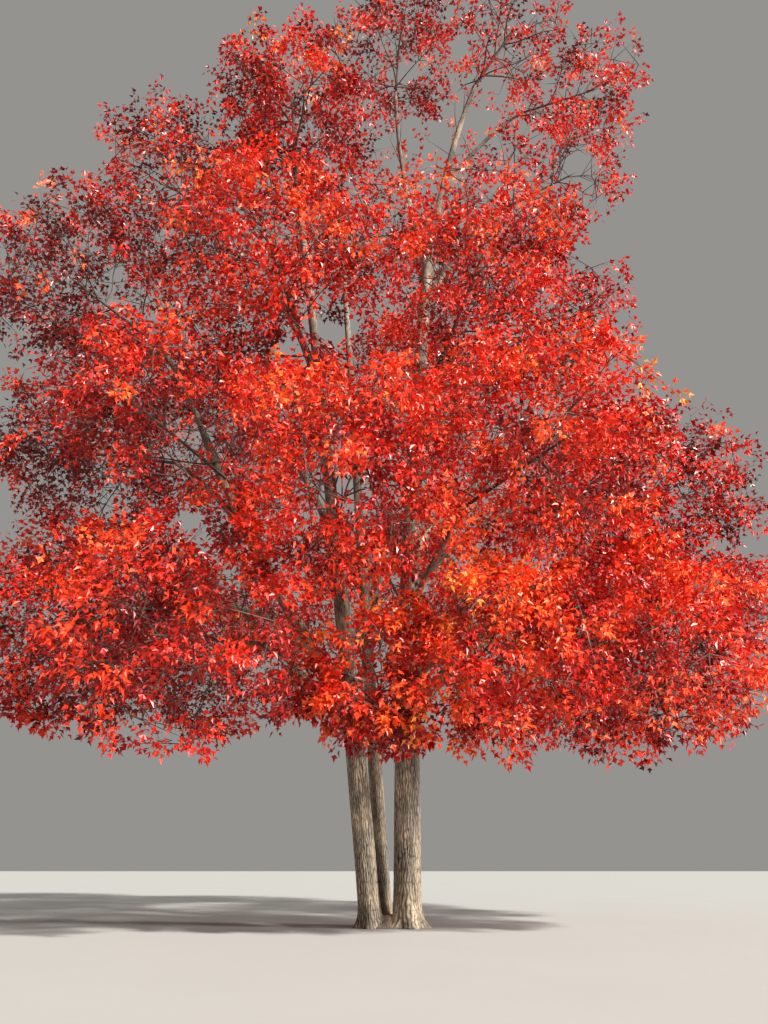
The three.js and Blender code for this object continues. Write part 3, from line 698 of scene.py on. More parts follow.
def shoots_of(sprays, rng):
    """Pairs of shoots on each spray, opposite each other and turned a little from pair to pair: the way
    times cos tilt plus, out from the spray, sin tilt. One more goes on from the spray's tip."""
    count = len(sprays["root"])
    side = np.cross(sprays["face"], sprays["way"])
    full_length = sprays["length"] * SHOOT_LENGTH
    parts = []
    for share in SHOOTS:
        root = along(sprays, share)
        turn = rng.normal(0, SHOOT_TURN, count)
        for half in (0, math.pi):
            out = turned(side, sprays["way"], turn + half)
            steep = math.radians(SHOOT_TILT) * rng.uniform(*SHOOT_TILTS, count)[:, None]
            rise = UP * rng.normal(*SHOOT_RISE, (count, 1))
            way = unit(sprays["way"] * np.cos(steep) + out * np.sin(steep) + rise)
            length = full_length * (SHOOT_FIRST - SHOOT_FALL * share)
            length = length * rng.uniform(*SHOOT_LENGTHS, count)
            parts.append(dict(root=root, way=way, length=length, share=np.full(count, share)))
    parts.append(dict(
        root=along(sprays, SHOOTS[-1]), way=unit(sprays["way"] - UP * END_SHOOT_DROOP),
        length=full_length * END_SHOOT_LENGTH, share=np.full(count, SHOOTS[-1]),
    ))
    shoots = stacked(parts)
    shoots["spray"] = np.tile(np.arange(count), len(parts))
    return shoots


def tips_of(shoots):
    """Root + way length of each shoot."""
    return shoots["root"] + shoots["way"] * shoots["length"][:, None]


def leaves_of(shoots, leaf_length, stalk_length, rng):
    """Pairs of leaves on each shoot, each pair square to the last. A stalk is the shoot's way times cos
    tilt plus, out from it, sin tilt, and its blade hangs on from it by a droop of its own."""
    count = len(shoots["root"])
    side = square_to(UP + rng.normal(0, LEAF_SIDE_WANDER, (count, 3)), shoots["way"])
    turn = rng.uniform(0, math.pi, count)
    steep = math.radians(LEAF_TILT)
    parts = []
    for place, share in enumerate(LEAF_PAIRS):
        node = shoots["root"] + shoots["way"] * (shoots["length"] * share)[:, None]
        for half in (0, math.pi):
            wander = rng.normal(0, LEAF_TURN, count)
            out = turned(side, shoots["way"], turn + half + place * math.pi / 2 + wander)
            stalk = unit(shoots["way"] * math.cos(steep) + out * math.sin(steep) + UP * STALK_RISE)
            reach = stalk_length * rng.uniform(*STALK_LENGTHS, count)
            droop = rng.uniform(*LEAF_DROOP, (count, 1))
            tip = unit(stalk + rng.normal(0, LEAF_TIP_WANDER, (count, 3)) - UP * droop)
            face = UP + LEAF_FACE_OUT * out + rng.normal(0, LEAF_WANDER, (count, 3))
            length = leaf_length * rng.uniform(*LEAF_LENGTHS, count)
            parts.append(dict(
                node=node, base=node + stalk * reach[:, None], tip=tip, face=square_to(face, tip),
                length=length, shoot=np.arange(count),
            ))
    return stacked(parts)


def edge_share(order, points):
    """0 at the edge of the mass's rounded form, 1 where it is deeper than the edge depth."""
    out = np.sqrt(np.maximum(power(points)[..., order] + RADII[order] ** 2, 0)) / RADII[order]
    return np.clip((1 - out) / EDGE_DEPTH, 0, 1)


def clump_share(points):
    """Full where the sum of the slow waves, sin(k . p + phase), over the root of half their count, is
    high, and least where it is low."""
    rng = np.random.default_rng(SEED)
    ways = unit(rng.normal(size=(CLUMP_WAVES, 3))) * (1, 1, CLUMP_FLATNESS)
    waves = ways * (math.tau / rng.uniform(*CLUMP_LENGTHS, (CLUMP_WAVES, 1)))
    phases = rng.uniform(0, math.tau, CLUMP_WAVES)
    height = np.sin(points @ waves.T + phases).sum(-1) / math.sqrt(CLUMP_WAVES / 2)
    low, high = CLUMP_EDGE
    return mix(CLUMP_GAP, 1, np.clip((height - low) / (high - low), 0, 1))


def gap_share(points):
    """Least near the middle line of a gap, and full from its radius on."""
    share = np.ones(len(points))
    for start, end, radius in GAPS.values():
        line = np.subtract(end, start)
        place = np.clip((points - start) @ line / (line @ line), 0, 1)
        out = np.linalg.norm(points - start - place[:, None] * line, axis=1) / radius
        share = np.minimum(share, mix(GAP_FILL, 1, np.clip((out - GAP_CORE) / (1 - GAP_CORE), 0, 1)))
    return share


def thinned(order, shoots, fill, on_twigs, rng):
    """The shoots left by chance: the mass's fill times the shares of edge, clumps and gaps. Those on its
    twigs, which come first, also have to end in its space."""
    tips = tips_of(shoots)
    chance = fill * mix(EDGE_FILL, 1, edge_share(order, tips))
    chance = chance * clump_share(tips) * gap_share(tips)
    fits = in_space(order, tips, SHOOT_OUTSIDE) | (shoots["spray"] >= on_twigs)
    return kept_of(shoots, fits & (rng.random(len(tips)) < chance))


def warmth_and_painted_light_of(order, warmth, sprays, rng):
    """The mass's warmth, more toward its top as painted light, less toward its heart as painted shade, and
    by chance for each spray.
    """
    middle = along(sprays, 0.5)
    painted_light_height = (middle[:, 2] - CENTRES[order, 2]) / RADII[order]
    warmth = warmth + PAINTED_LIGHT_RISE * painted_light_height - PAINTED_SHADE_DEPTH * (edge_share(order, middle) - 0.5)
    return warmth + TINT_SPREAD * (rng.beta(TINT_EVENNESS, TINT_EVENNESS, len(painted_light_height)) - 0.5)


def grow_crown(leaf_length, stalk_length):
    """Twigs, sprays, shoots and leaves of every mass, by the mass's name."""
    limbs, mass_stems = grow_limbs()
    crown = {}
    for order, (name, mass) in enumerate(MASSES.items()):
        rng = np.random.default_rng(SEED + order)
        stem = mass_stems[name]
        twigs = twigs_of(order, stem)
        fill_twigs = fill_twigs_of(order, stem, rng)
        sprays, on_twigs = sprays_of(order, twigs, fill_twigs, limbs.get(f"bough_{name}"), rng)
        shoots = thinned(order, shoots_of(sprays, rng), mass["fill"], on_twigs, rng)
        sprays["reach"] = np.zeros(len(sprays["root"]))
        np.maximum.at(sprays["reach"], shoots["spray"], shoots["share"])
        leaves = leaves_of(shoots, leaf_length, stalk_length, rng)
        spray = shoots["spray"][leaves["shoot"]]
        leaves["warmth"] = warmth_and_painted_light_of(order, mass["warmth"], sprays, rng)[spray]
        inside = in_space(order, leaves["base"], LEAF_OUTSIDE / RADII[order])
        leaves = kept_of(leaves, inside | (spray >= on_twigs))
        twigs = stacked([twigs, fill_twigs])
        crown[name] = dict(stem=stem, twigs=twigs, sprays=sprays, shoots=shoots, leaves=leaves)
    return crown


# Meshes

def make_piece(name, points, triangles, materials, nodes, tints=None, bark=None):
    """A mesh object at the origin from arrays of points and triangles, riding on the root body. Tints are
    the triangles' materials. With bark values the piece is shaded smooth, but for the ends of its tubes."""
    mesh = bpy.data.meshes.new(name)
    mesh.vertices.add(len(points))
    mesh.vertices.foreach_set("co", np.asarray(points, np.float32).ravel())
    mesh.loops.add(triangles.size)
    mesh.loops.foreach_set("vertex_index", np.asarray(triangles, np.int32).ravel())
    mesh.polygons.add(len(triangles))
    mesh.polygons.foreach_set("loop_start", np.arange(0, triangles.size, 3, dtype=np.int32))
    for material in materials:
        mesh.materials.append(material)
    if tints is not None:
        mesh.polygons.foreach_set("material_index", np.asarray(tints, np.int32))
    if bark is not None:
        mesh.attributes.new("bark", "FLOAT", "POINT").data.foreach_set("value", bark.astype(np.float32))
    poles = np.bincount(triangles.ravel()) > MOST_FACES_AT_A_POINT
    smooth = ~poles[triangles].any(axis=1) & (bark is not None)
    mesh.polygons.foreach_set("use_smooth", smooth)
    mesh.update(calc_edges=True)
    piece = bpy.data.objects.new(name, mesh)
    bpy.context.scene.collection.objects.link(piece)
    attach(piece, "root")
    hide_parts(*nodes)


def wall_triangles(rows, columns):
    """Two triangles for each four neighbours on rings of points round an axis."""
    row, column = np.meshgrid(np.arange(rows - 1), np.arange(columns), indexing="ij")
    a = row * columns + column
    b = row * columns + (column + 1) % columns
    return np.stack([a, b, b + columns, a, b + columns, a + columns], axis=-1).reshape(-1, 3)


def tube(rings):
    """Points and triangles of one closed tube from rows x columns x 3 points round its axis. The middles
    of the first and the last ring come after them, and a fan of triangles from each closes its end."""
    rows, columns = rings.shape[:2]
    ring = np.arange(columns)
    after = (ring + 1) % columns
    last = (rows - 1) * columns
    low = np.stack([after, ring, np.full(columns, rows * columns)], axis=-1)
    high = np.stack([last + ring, last + after, np.full(columns, rows * columns + 1)], axis=-1)
    points = np.concatenate([rings.reshape(-1, 3), [rings[0].mean(0), rings[-1].mean(0)]])
    return points, np.concatenate([wall_triangles(rows, columns), low, high])


def joined(parts):
    """Several pairs of points and triangles as one."""
    offsets = np.cumsum([0] + [len(points) for points, _ in parts])
    points = np.concatenate([points for points, _ in parts])
    triangles = np.concatenate([triangles + offset for (_, triangles), offset in zip(parts, offsets)])
    return points, triangles


def repeated(points, one):
    """Points of many like shapes, shapes x points x 3, and the triangles of one, as one mesh."""
    triangles = one[None] + (np.arange(len(points)) * points.shape[1])[:, None, None]
    return points.reshape(-1, 3), triangles.reshape(-1, 3)


def many_twigs(paths, radii, sides):
    """Thin tubes in one go, drawn to a point: paths is twigs x rings x 3, radii is twigs x rings. Each ring
    is path + radius (side cos a + over sin a), square to the twig's own way, and the last is one point."""
    way = unit(paths[:, -1] - paths[:, 0])
    side = square_to(np.where(np.abs(way[:, 2:]) > UPRIGHT, (1.0, 0.0, 0.0), UP), way)
    over = np.cross(way, side)
    angle = math.tau * np.arange(sides) / sides
    ring = side[:, None] * np.cos(angle)[:, None] + over[:, None] * np.sin(angle)[:, None]
    body = paths[:, :-1, None] + ring[:, None] * radii[:, :-1, None, None]
    twigs, rings = body.shape[:2]
    points = np.concatenate([body.reshape(twigs, -1, 3), paths[:, -1:]], axis=1)
    fan = np.arange(1, sides - 1)
    foot = np.stack([np.zeros_like(fan), fan + 1, fan], axis=-1)
    last = (rings - 1) * sides + np.arange(sides)
    after = (rings - 1) * sides + (np.arange(sides) + 1) % sides
    point = np.stack([last, after, np.full(sides, rings * sides)], axis=-1)
    return repeated(points, np.concatenate([wall_triangles(rings, sides), foot, point]))


def twig_tubes(grown):
    """The stem of a mass, its twigs, its sprays as far as they bear shoots, and its shoots."""
    stem, twigs, sprays, shoots = grown["stem"], grown["twigs"], grown["sprays"], grown["shoots"]
    share = np.linspace(0, 1, TWIG_RINGS)
    twig_paths = np.stack([twig_at(twigs, part) for part in share], axis=1)
    twig_radii = twigs["radius"][:, None] * mix(1, TWIG_POINT, share)
    sprays = kept_of(sprays, sprays["reach"] > 0)
    reach = sprays["reach"][:, None]
    spray_paths = np.stack([along(sprays, ring * reach) for ring in SPRAY_RINGS], axis=1)
    spray_radii = np.broadcast_to(mix(*SPRAY_RADII, np.array(SPRAY_RINGS)), spray_paths.shape[:2])
    shoot_paths = np.stack([shoots["root"], tips_of(shoots)], axis=1)
    shoot_radii = np.full(shoot_paths.shape[:2], SHOOT_RADIUS)
    return [
        many_twigs(stem.curve.at(share)[None], stem.radius(share)[None], MASS_STEM_SIDES),
        many_twigs(twig_paths, twig_radii, TWIG_SIDES),
        many_twigs(spray_paths, spray_radii, THIN_SIDES),
        many_twigs(shoot_paths, shoot_radii, THIN_SIDES),
    ]


def leaf_blades(leaves):
    """Every leaf's blade and stalk: base + length (across x side + along y tip + up z face). The stalk is
    one thin triangle from the shoot to the blade's base. Also gives how many triangles a leaf has."""
    side = np.cross(leaves["tip"], leaves["face"])
    local = LEAF_OUTLINE @ np.stack([side, leaves["tip"], leaves["face"]], axis=1)
    blade = leaves["base"][:, None] + local * leaves["length"][:, None, None]
    half = side[:, None] * (STALK_WIDTH / 2)
    node = leaves["node"][:, None]
    points = np.concatenate([blade, node - half, node + half], axis=1)
    stalk = np.array([(len(LEAF_OUTLINE), len(LEAF_OUTLINE) + 1, 0)])
    one = np.concatenate([LEAF_FACES, stalk])
    return (*repeated(points, one), len(one))


# Bark surfaces

def plates(angle, height, count, order):
    """Bark plates parted by narrow grooves: a power of |sin(phase/2)|, where the phase is the count times
    the angle plus waves in height and angle, so that the grooves wander and run together. Each plate is
    broken by cross cracks at heights of its own, and lies higher or lower than the next."""
    phase = count * angle + wave_sum(GROOVE_WAVES, angle, height, order)
    groove = np.abs(np.sin(phase / 2)) ** GROOVE_POWER
    plate = np.floor(phase / math.tau)
    shift, shift_rate = PLATE_STAGGER
    wander, wander_rate = CRACK_WANDER
    run = height / PLATE_LENGTH + shift * np.sin(shift_rate * plate)
    run = run + wander * np.sin(wander_rate * height + plate)
    crack = mix(CRACK_FLOOR, 1, np.abs(np.sin(math.pi * run)) ** CRACK_POWER)
    across, up = PLATE_LIFT_WAVES
    lift = 1 + PLATE_LIFT * np.sin(across * plate + up * np.floor(run))
    return np.clip(np.minimum(groove, crack) * lift, 0, BARK_TOP)


def stem_surface(stem, order, settings):
    """Level rings round a stem's centre line, closer together near the foot: radius = the stem's x flare x
    buttress x slow waves, less the bark's grooves, which die away with height. Then the bark's values."""
    heights = np.concatenate([
        np.linspace(0, FOOT_HEIGHT, FOOT_ROWS, endpoint=False),
        np.arange(FOOT_HEIGHT, FINE_STEM_TOP, FINE_STEM_STEP),
        np.arange(FINE_STEM_TOP, stem["top"], STEM_STEP),
        [stem["top"]],
    ])
    angle = angles_round(STEM_COLUMNS)
    z = heights[:, None]
    swell = np.clip(np.exp(-z / FLARE_FALL) - math.exp(-FOOT_HEIGHT / FLARE_FALL), 0, None)
    ridge = 1 + BUTTRESS_DEPTH * np.cos(BUTTRESSES * angle + BUTTRESS_TURN * order) * swell
    waves = 1 + wave_sum(STEM_WAVES, angle, z, order)
    bark = plates(angle, z, settings.plates, order)
    depth = settings.furrow_depth * np.exp(-z / settings.furrow_fall)
    radius = stem_radius(stem, z) * (1 + FLARE * swell) * ridge * waves + depth * (bark - BARK_LEVEL)
    out = np.stack([np.cos(angle), np.sin(angle), np.zeros_like(angle)], axis=-1)
    return stem_centre(stem, heights)[:, None] + radius[..., None] * out, bark, END_BARK


def bough_surface(limb, order, settings):
    """Rings square to a bough's curve, which lies in one plane: radius = the limb's, wider at the fork by
    a collar that dies away along it, with slow waves and faint grooves. Then the bark's values."""
    share = np.linspace(0, 1, int(limb.curve.length / BOUGH_STEP))
    curve = limb.curve
    tangent = curve.tangent(share)
    flat = unit(np.cross(curve.control - curve.start, curve.end - curve.start) + STRAIGHT_SIDE)
    flat = np.broadcast_to(flat, tangent.shape)
    up = np.cross(flat, tangent)
    angle = angles_round(BOUGH_COLUMNS)
    run = share[:, None] * curve.length
    collar = 1 + COLLAR * np.exp(-run / (COLLAR_FALL * limb.root_radius))
    waves = 1 + wave_sum(BOUGH_WAVES, angle, run, order)
    count = max(FEWEST_PLATES, int(settings.plates * limb.root_radius / FULL_PLATES_RADIUS))
    bark = plates(angle, run, count, order)
    depth = settings.furrow_depth * BOUGH_FURROWS * limb.root_radius
    radius = limb.radius(share)[:, None] * collar * waves + depth * (bark - BARK_LEVEL)
    ring = flat[:, None] * np.cos(angle)[..., None] + up[:, None] * np.sin(angle)[..., None]
    return curve.at(share)[:, None] + radius[..., None] * ring, bark, END_BARK


def mound_surface():
    """The low mound between the feet: rings that run evenly from its radius to its top's, with a few
    waves round it. Then the bark's value."""
    share = np.linspace(0, 1, MOUND_ROWS)[:, None]
    angle = angles_round(MOUND_COLUMNS)
    radius = mix(MOUND["radius"], MOUND["top_radius"], share) * (1 + wave_sum(MOUND_WAVES, angle, share))
    height = MOUND["height"] * share + wave_sum(MOUND_BUMPS, angle, share) * share * (1 - share)
    rings = np.stack([radius * np.cos(angle), radius * np.sin(angle), height], axis=-1)
    return rings, np.full(rings.shape[:2], MOUND_BARK), MOUND_BARK


def bark_skin(surfaces):
    """Tubes from rings, their bark values and the value at both ends, as the points, the triangles and the
    values of one mesh."""
    points, triangles = joined([tube(rings) for rings, _, _ in surfaces])
    return points, triangles, np.concatenate([np.append(bark, (end, end)) for _, bark, end in surfaces])


# Materials

MIX_SHARE = 0  # sockets of a Mix node for colours
MIX_A = 6
MIX_B = 7
MIX_RESULT = 2


class Nodes:
    """A material's node tree with short calls to add and join its nodes. What one gives to the next is a
    pair of the node and its output."""

    def __init__(self, name):
        self.material = bpy.data.materials.new(name)
        self.material.use_nodes = True
        self.tree = self.material.node_tree
        self.shader = self.tree.nodes["Principled BSDF"]

    def add(self, kind, values=(), **settings):
        """A new node with its settings and the values of its sockets."""
        node = self.tree.nodes.new(kind)
        for key, value in settings.items():
            setattr(node, key, value)
        for socket, value in dict(values).items():
            node.inputs[socket].default_value = value
        return node

    def join(self, source, target, socket):
        """Joins a pair of node and output to a socket of another node."""
        node, output = source
        self.tree.links.new(node.outputs[output], target.inputs[socket])

    def place(self, stretch):
        """Object coordinates scaled by three numbers."""
        mapping = self.add("ShaderNodeMapping", {"Scale": stretch})
        self.join((self.add("ShaderNodeTexCoord"), "Object"), mapping, "Vector")
        return mapping, "Vector"

    def noise(self, scale, stretch=(1, 1, 1), detail=6.0, roughness=0.6):
        """Noise in Object coordinates."""
        values = {"Scale": scale, "Detail": detail, "Roughness": roughness}
        texture = self.add("ShaderNodeTexNoise", values)
        self.join(self.place(stretch), texture, "Vector")
        return texture, "Fac"

    def ramp(self, source, stops):
        """Colours between stops of position and colour."""
        ramp = self.add("ShaderNodeValToRGB")
        elements = ramp.color_ramp.elements
        while len(elements) < len(stops):
            elements.new(0.5)
        for element, (position, colour) in zip(elements, stops):
            element.position = position
            element.color = (*colour, 1.0)
        self.join(source, ramp, "Fac")
        return ramp, "Color"

    def mixed(self, a, b, **settings):
        """A Mix node for the colours a and b."""
        node = self.add("ShaderNodeMix", {MIX_SHARE: 1.0}, data_type="RGBA", **settings)
        self.join(a, node, MIX_A)
        self.join(b, node, MIX_B)
        return node

    def blend(self, share, a, b):
        """Colour a to colour b by a share."""
        node = self.mixed(a, b)
        self.join(share, node, MIX_SHARE)
        return node, MIX_RESULT

    def multiply(self, a, b):
        """Colour a times colour b."""
        return self.mixed(a, b, blend_type="MULTIPLY"), MIX_RESULT

    def bump(self, source, strength, distance):
        """Fine relief on the shader's normal."""
        bump = self.add("ShaderNodeBump", {"Strength": strength, "Distance": distance})
        self.join(source, bump, "Height")
        self.join((bump, "Normal"), self.shader, "Normal")

    def finish(self, roughness, gloss):
        """Roughness and gloss on the shader's own sockets."""
        self.shader.inputs["Roughness"].default_value = roughness
        self.shader.inputs["Specular IOR Level"].default_value = gloss


def times(share, colour):
    """A colour with each of its three numbers times a share."""
    return tuple(share * part for part in colour)


def bark_material(name, settings):
    """Plates and grooves coloured by the mesh's own bark value, with pale plates that are partly painted
    sunlight and dark grooves that are partly painted shade in the furrows. High up it turns to the smooth
    grey bark, darker, partly as painted shade of the crown. All of it times patches and fine cracks along
    the limb."""
    smooth_and_shade_from, bump_strength = BARKS[name]
    nodes = Nodes(name)
    # Painted light: the pale plate colour is partly painted sunlight, the dark groove colour partly painted
    # shade in the furrows.
    groove, plate = settings.groove_and_shade_colour, settings.plate_and_sunlit_colour
    between = tuple((a + b) / 2 for a, b in zip(groove, plate))
    relief = (nodes.add("ShaderNodeAttribute", attribute_name="bark"), "Fac")
    furrowed = nodes.ramp(relief, list(zip(GROOVE_STOPS, (groove, between, plate))))
    patches = nodes.noise(**PATCHES)
    cracks = nodes.noise(**CRACKS)
    shades = (times(SMOOTH_SHADE, settings.smooth_bark_and_shade_colour), settings.smooth_bark_and_shade_colour)
    smooth = nodes.ramp(patches, list(zip(SMOOTH_STOPS, shades)))
    # Painted shade: from that height up the colour turns to the darker smooth bark, partly for the crown's
    # shade on stems and boughs.
    height = nodes.add("ShaderNodeSeparateXYZ")
    nodes.join(nodes.place((1, 1, 1)), height, "Vector")
    heights = {"From Min": smooth_and_shade_from, "From Max": SMOOTH_AND_SHADE_TOP, "To Min": 0.0, "To Max": SMOOTH_AND_SHADE_SHARE}
    rise = nodes.add("ShaderNodeMapRange", heights)
    nodes.join((height, "Z"), rise, "Value")
    colour = nodes.blend((rise, "Result"), furrowed, smooth)
    colour = nodes.multiply(colour, nodes.ramp(patches, PATCH_RAMP))
    colour = nodes.multiply(colour, nodes.ramp(cracks, CRACK_RAMP))
    nodes.join(colour, nodes.shader, "Base Color")
    nodes.bump(cracks, bump_strength, BARK_BUMP)
    nodes.finish(*BARK_FINISH)
    return nodes.material


def twig_material(settings):
    """Dark grey-brown twigs with paler stretches."""
    nodes = Nodes("twig bark")
    shades = (settings.twig_colour, times(TWIG_PALER, settings.twig_colour))
    colour = nodes.ramp(nodes.noise(**TWIG_PATCHES), list(zip(TWIG_STOPS, shades)))
    nodes.join(colour, nodes.shader, "Base Color")
    nodes.bump(nodes.noise(**TWIG_GRAIN), *TWIG_BUMP)
    nodes.finish(*TWIG_FINISH)
    return nodes.material


def leaf_material(name, colour):
    """One plain autumn tint with the leaf's faint gloss."""
    nodes = Nodes(name)
    nodes.shader.inputs["Base Color"].default_value = (*colour, 1.0)
    nodes.finish(*LEAF_FINISH)
    return nodes.material


def floor_material(colour):
    """Pale plain floor with the faintest unevenness."""
    nodes = Nodes("studio floor")
    shades = (times(FLOOR_SHADE, colour), colour)
    shade = nodes.ramp(nodes.noise(**FLOOR_PATCHES), list(zip(FLOOR_STOPS, shades)))
    nodes.join(shade, nodes.shader, "Base Color")
    nodes.finish(*FLOOR_FINISH)
    return nodes.material


# What a user would change

def colour_property(name, description, red, green, blue):
    """A colour with its default given in linear red, green and blue."""
    return FloatVectorProperty(
        name=name, description=description, subtype="COLOR", size=3, min=0.0, max=1.0,
        default=(red, green, blue),
    )


def length_property(name, description, default, least, most):
    """A length in metres."""
    return FloatProperty(
        name=name, description=description, default=default, min=least, max=most,
        subtype="DISTANCE", unit="LENGTH",
    )


def angle_property(name, description, default, least, most):
    """An angle with its default and its limits given in degrees."""
    return FloatProperty(
        name=name, description=description, subtype="ANGLE", unit="ROTATION",
        default=math.radians(default), min=math.radians(least), max=math.radians(most),
    )


def strength_property(name, default, most):
    """The strength of a light."""
    description = "Strength of the light"
    return FloatProperty(name=name, description=description, default=default, min=0.0, max=most)


class RedMapleBark(bpy.types.PropertyGroup):
    """Bark of the stems, boughs and twigs."""

    plates: IntProperty(
        name="Plates", description="Bark plates round each stem", default=30, min=6, max=60
    )
    furrow_depth: length_property("Furrow depth", "Depth of the grooves at the foot", 0.017, 0.0, 0.05)
    furrow_fall: length_property(
        "Furrow fall", "Height in which the grooves grow nearly three times shallower", 7.0, 1.0, 30.0
    )
    # Partly painted light: pale plates stand partly for sunlight, dark grooves partly for shade in the
    # furrows, and the darker smooth bark partly for the crown's shade.
    plate_and_sunlit_colour: colour_property("Plates", "Colour of the bark plates", 0.66, 0.58, 0.47)
    groove_and_shade_colour: colour_property("Grooves", "Colour between the plates", 0.085, 0.065, 0.05)
    smooth_bark_and_shade_colour: colour_property("Smooth bark", "Colour of the smooth bark high up", 0.29, 0.25, 0.215)
    twig_colour: colour_property("Twigs", "Colour of the young twigs", 0.06, 0.04, 0.034)


class RedMapleLeaves(bpy.types.PropertyGroup):
    """Leaves and their autumn tints, from the deepest to the lightest."""

    leaf_length: length_property("Leaf length", "Mean length of a leaf's blade", 0.125, 0.05, 0.4)
    stalk_length: length_property("Stalk length", "Mean length of a leaf's stalk", 0.07, 0.01, 0.2)
    tint_1: colour_property("Maroon", "Deepest tint", 0.12, 0.004, 0.0035)
    tint_2: colour_property("Crimson", "Deep tint", 0.33, 0.008, 0.005)
    tint_3: colour_property("Cherry", "Red tint", 0.63, 0.018, 0.006)
    tint_4: colour_property("Scarlet", "Bright red tint", 0.86, 0.045, 0.010)
    tint_5: colour_property("Vermilion", "Orange-red tint", 0.92, 0.105, 0.018)
    tint_6: colour_property("Orange", "Orange tint", 0.92, 0.20, 0.024)
    tint_7: colour_property("Amber", "Lightest tint", 0.90, 0.29, 0.035)


class RedMapleStage(bpy.types.PropertyGroup):
    """Floor, light and camera."""

    floor_radius: length_property("Floor radius", "Half the floor's width", 150.0, 10.0, 1000.0)
    floor_colour: colour_property("Floor", "Colour of the floor", 0.33, 0.33, 0.32)
    sky_colour: colour_property("Surroundings", "Colour of the light all round", 1.0, 0.97, 0.93)
    sky_strength: strength_property("Surrounding light", 0.3, 5.0)
    sun_strength: strength_property("Key light", 8.4, 20.0)
    sun_height: angle_property("Key height", "Angle of the key light above the ground", 37, 0, 90)
    sun_turn: angle_property(
        "Key turn", "Angle of the key light to the right of the camera", 46, -180, 180
    )
    fill_strength: strength_property("Fill light", 4.6, 20.0)
    fill_height: angle_property("Fill height", "Angle of the fill light above the ground", 9, 0, 90)
    fill_turn: angle_property(
        "Fill turn", "Angle of the fill light to the right of the camera", 76, -180, 180
    )
    eye_height: length_property("Eye height", "Height of the camera", 1.0, 0.1, 20.0)
    eye_distance: length_property(
        "Eye distance", "Distance from the camera to the tree", 16.0, 2.0, 100.0
    )
    eye_pitch: angle_property("Eye pitch", "Angle by which the camera looks up", 23.6, 0, 90)
    lens: FloatProperty(
        name="Lens", description="Focal length on a 36 mm sensor", default=28.44, min=8.0, max=200.0,
        subtype="DISTANCE_CAMERA", unit="CAMERA",
    )


# Floor, lights and camera

def add_floor(scene, stage):
    """A plain square at ground level, far wider than the tree."""
    mesh = bpy.data.meshes.new("floor")
    corners = [(x * stage.floor_radius, y * stage.floor_radius, 0) for x, y in FLOOR_CORNERS]
    mesh.from_pydata(corners, [], [(0, 1, 2, 3)])
    mesh.materials.append(floor_material(stage.floor_colour))
    floor = bpy.data.objects.new("floor", mesh)
    scene.collection.objects.link(floor)


def add_surroundings(scene, stage):
    """Even light from all round."""
    world = bpy.data.worlds.new("soft surroundings")
    world.use_nodes = True
    surroundings = world.node_tree.nodes["Background"]
    surroundings.inputs["Color"].default_value = (*stage.sky_colour, 1.0)
    surroundings.inputs["Strength"].default_value = stage.sky_strength
    scene.world = world


def add_light(scene, name, strength, height, turn, width):
    """A far light that shines down by its height, turned to the right of the camera."""
    light = bpy.data.objects.new(name, bpy.data.lights.new(name, "SUN"))
    light.data.energy = strength
    light.data.angle = math.radians(width)
    light.data.color = WARM_LIGHT
    light.rotation_euler = Euler((math.pi / 2 - height, 0, turn))
    scene.collection.objects.link(light)


def add_camera(scene, stage):
    """The camera in front of the tree at the eye's height, turned up by its pitch."""
    camera = bpy.data.objects.new("camera", bpy.data.cameras.new("camera"))
    camera.data.lens = stage.lens
    camera.data.sensor_width = SENSOR_WIDTH
    camera.data.clip_end = 2 * stage.floor_radius
    camera.location = (EYE_SIDE, -stage.eye_distance, stage.eye_height)
    camera.rotation_euler = Euler((math.pi / 2 + stage.eye_pitch, 0, 0))
    scene.collection.objects.link(camera)
    scene.camera = camera


# Operators

class REDMAPLE_OT_trunk(bpy.types.Operator):
    """Build the three stems from their flared feet up, and the low mound between them, in one bark"""

    bl_idname = "red_maple.trunk"
    bl_label = "Trunk"

    def execute(self, context):
        settings = context.scene.red_maple_bark
        surfaces = [stem_surface(stem, order, settings) for order, stem in enumerate(STEMS.values())]
        points, triangles, bark = bark_skin([*surfaces, mound_surface()])
        material = bark_material("furrowed bark", settings)
        make_piece(
            "trunk_bark", points, triangles, [material], ["root_flare", *STEMS], bark=bark
        )
        return {"FINISHED"}


class REDMAPLE_OT_boughs(bpy.types.Operator):
    """Build the great bough and the boughs that carry the masses of leaves"""

    bl_idname = "red_maple.boughs"
    bl_label = "Boughs"

    def execute(self, context):
        settings = context.scene.red_maple_bark
        boughs = {name: limb for name, limb in grow_limbs()[0].items() if name not in STEMS}
        surfaces = [bough_surface(limb, order, settings) for order, limb in enumerate(boughs.values())]
        points, triangles, bark = bark_skin(surfaces)
        material = bark_material("bough bark", settings)
        make_piece("bough_bark", points, triangles, [material], list(boughs), bark=bark)
        return {"FINISHED"}


class REDMAPLE_OT_twigs(bpy.types.Operator):
    """Build the twigs of every mass, down to the shoots that carry the leaves"""

    bl_idname = "red_maple.twigs"
    bl_label = "Twigs"

    def execute(self, context):
        settings = context.scene.red_maple_leaves
        crown = grow_crown(settings.leaf_length, settings.stalk_length)
        material = twig_material(context.scene.red_maple_bark)
        for part, names in CROWN_PARTS.items():
            points, triangles = joined([piece for name in names for piece in twig_tubes(crown[name])])
            make_piece(
                f"twigs_of_the_{part}", points, triangles, [material],
                [f"leaves_{name}" for name in names],
            )
        return {"FINISHED"}


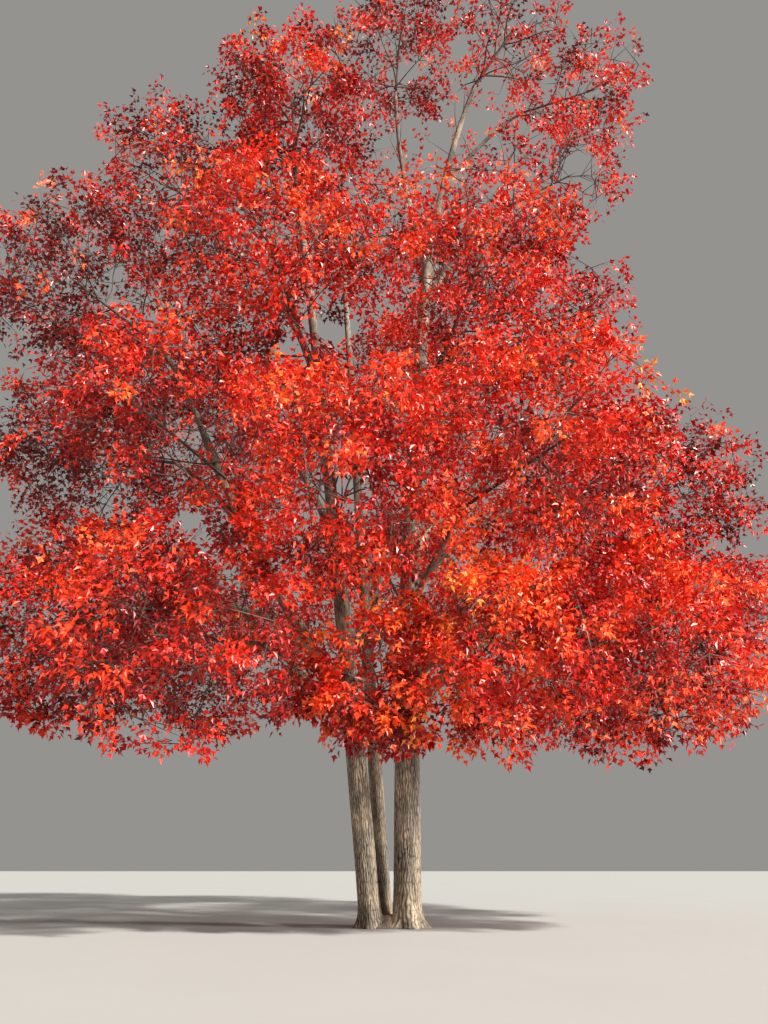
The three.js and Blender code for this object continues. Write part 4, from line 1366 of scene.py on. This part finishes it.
class REDMAPLE_OT_leaves(bpy.types.Operator):
    """Build the leaves, one piece to each part of the crown, each spray in one of seven tints"""

    bl_idname = "red_maple.leaves"
    bl_label = "Leaves"

    def execute(self, context):
        settings = context.scene.red_maple_leaves
        tints = [key for key in settings.bl_rna.properties.keys() if key.startswith("tint_")]
        materials = [
            leaf_material(f"autumn leaf {order + 1}", getattr(settings, tint))
            for order, tint in enumerate(tints)
        ]
        crown = grow_crown(settings.leaf_length, settings.stalk_length)
        for part, names in CROWN_PARTS.items():
            leaves = stacked([crown[name]["leaves"] for name in names])
            points, triangles, faces = leaf_blades(leaves)
            tint = np.clip((leaves["warmth"] * len(tints)).astype(int), 0, len(tints) - 1)
            make_piece(
                f"leaves_of_the_{part}", points, triangles, materials,
                [f"leaves_{name}" for name in names], tints=np.repeat(tint, faces),
            )
        return {"FINISHED"}


class REDMAPLE_OT_stage(bpy.types.Operator):
    """Set the pale floor, the soft light and the camera"""

    bl_idname = "red_maple.stage"
    bl_label = "Stage"

    def execute(self, context):
        scene = context.scene
        stage = scene.red_maple_stage
        scene.view_settings.view_transform = "Standard"
        add_floor(scene, stage)
        add_surroundings(scene, stage)
        for name, strength, height, turn, width in (
            ("key light", stage.sun_strength, stage.sun_height, stage.sun_turn, KEY_WIDTH),
            ("fill light", stage.fill_strength, stage.fill_height, stage.fill_turn, FILL_WIDTH),
        ):
            add_light(scene, name, strength, height, turn, width)
        add_camera(scene, stage)
        return {"FINISHED"}


class REDMAPLE_PT_panel(bpy.types.Panel):
    """Sizes, colours and buttons of the tree"""

    bl_idname = "REDMAPLE_PT_panel"
    bl_label = "Red Maple"
    bl_space_type = "VIEW_3D"
    bl_region_type = "UI"
    bl_category = "Red Maple"

    def draw(self, context):
        scene = context.scene
        for settings in (scene.red_maple_bark, scene.red_maple_leaves, scene.red_maple_stage):
            column = self.layout.column()
            for key in settings.bl_rna.properties.keys():
                if key not in ("rna_type", "name"):
                    column.prop(settings, key)
        for operator in OPERATORS:
            self.layout.operator(operator.bl_idname)


OPERATORS = (
    REDMAPLE_OT_stage,
    REDMAPLE_OT_trunk,
    REDMAPLE_OT_boughs,
    REDMAPLE_OT_twigs,
    REDMAPLE_OT_leaves,
)
SETTINGS = {
    "red_maple_bark": RedMapleBark,
    "red_maple_leaves": RedMapleLeaves,
    "red_maple_stage": RedMapleStage,
}


def register():
    """Makes the settings, operators and panel known."""
    for name, group in SETTINGS.items():
        bpy.utils.register_class(group)
        setattr(bpy.types.Scene, name, PointerProperty(type=group))
    for kind in (*OPERATORS, REDMAPLE_PT_panel):
        bpy.utils.register_class(kind)


def unregister():
    """Takes them away again."""
    for kind in (REDMAPLE_PT_panel, *reversed(OPERATORS)):
        bpy.utils.unregister_class(kind)
    for name, group in SETTINGS.items():
        delattr(bpy.types.Scene, name)
        bpy.utils.unregister_class(group)


def main():
    """Builds the whole tree."""
    register()
    bpy.ops.red_maple.stage()
    bpy.ops.red_maple.trunk()
    bpy.ops.red_maple.boughs()
    bpy.ops.red_maple.twigs()
    bpy.ops.red_maple.leaves()


if __name__ == "__main__":
    main()
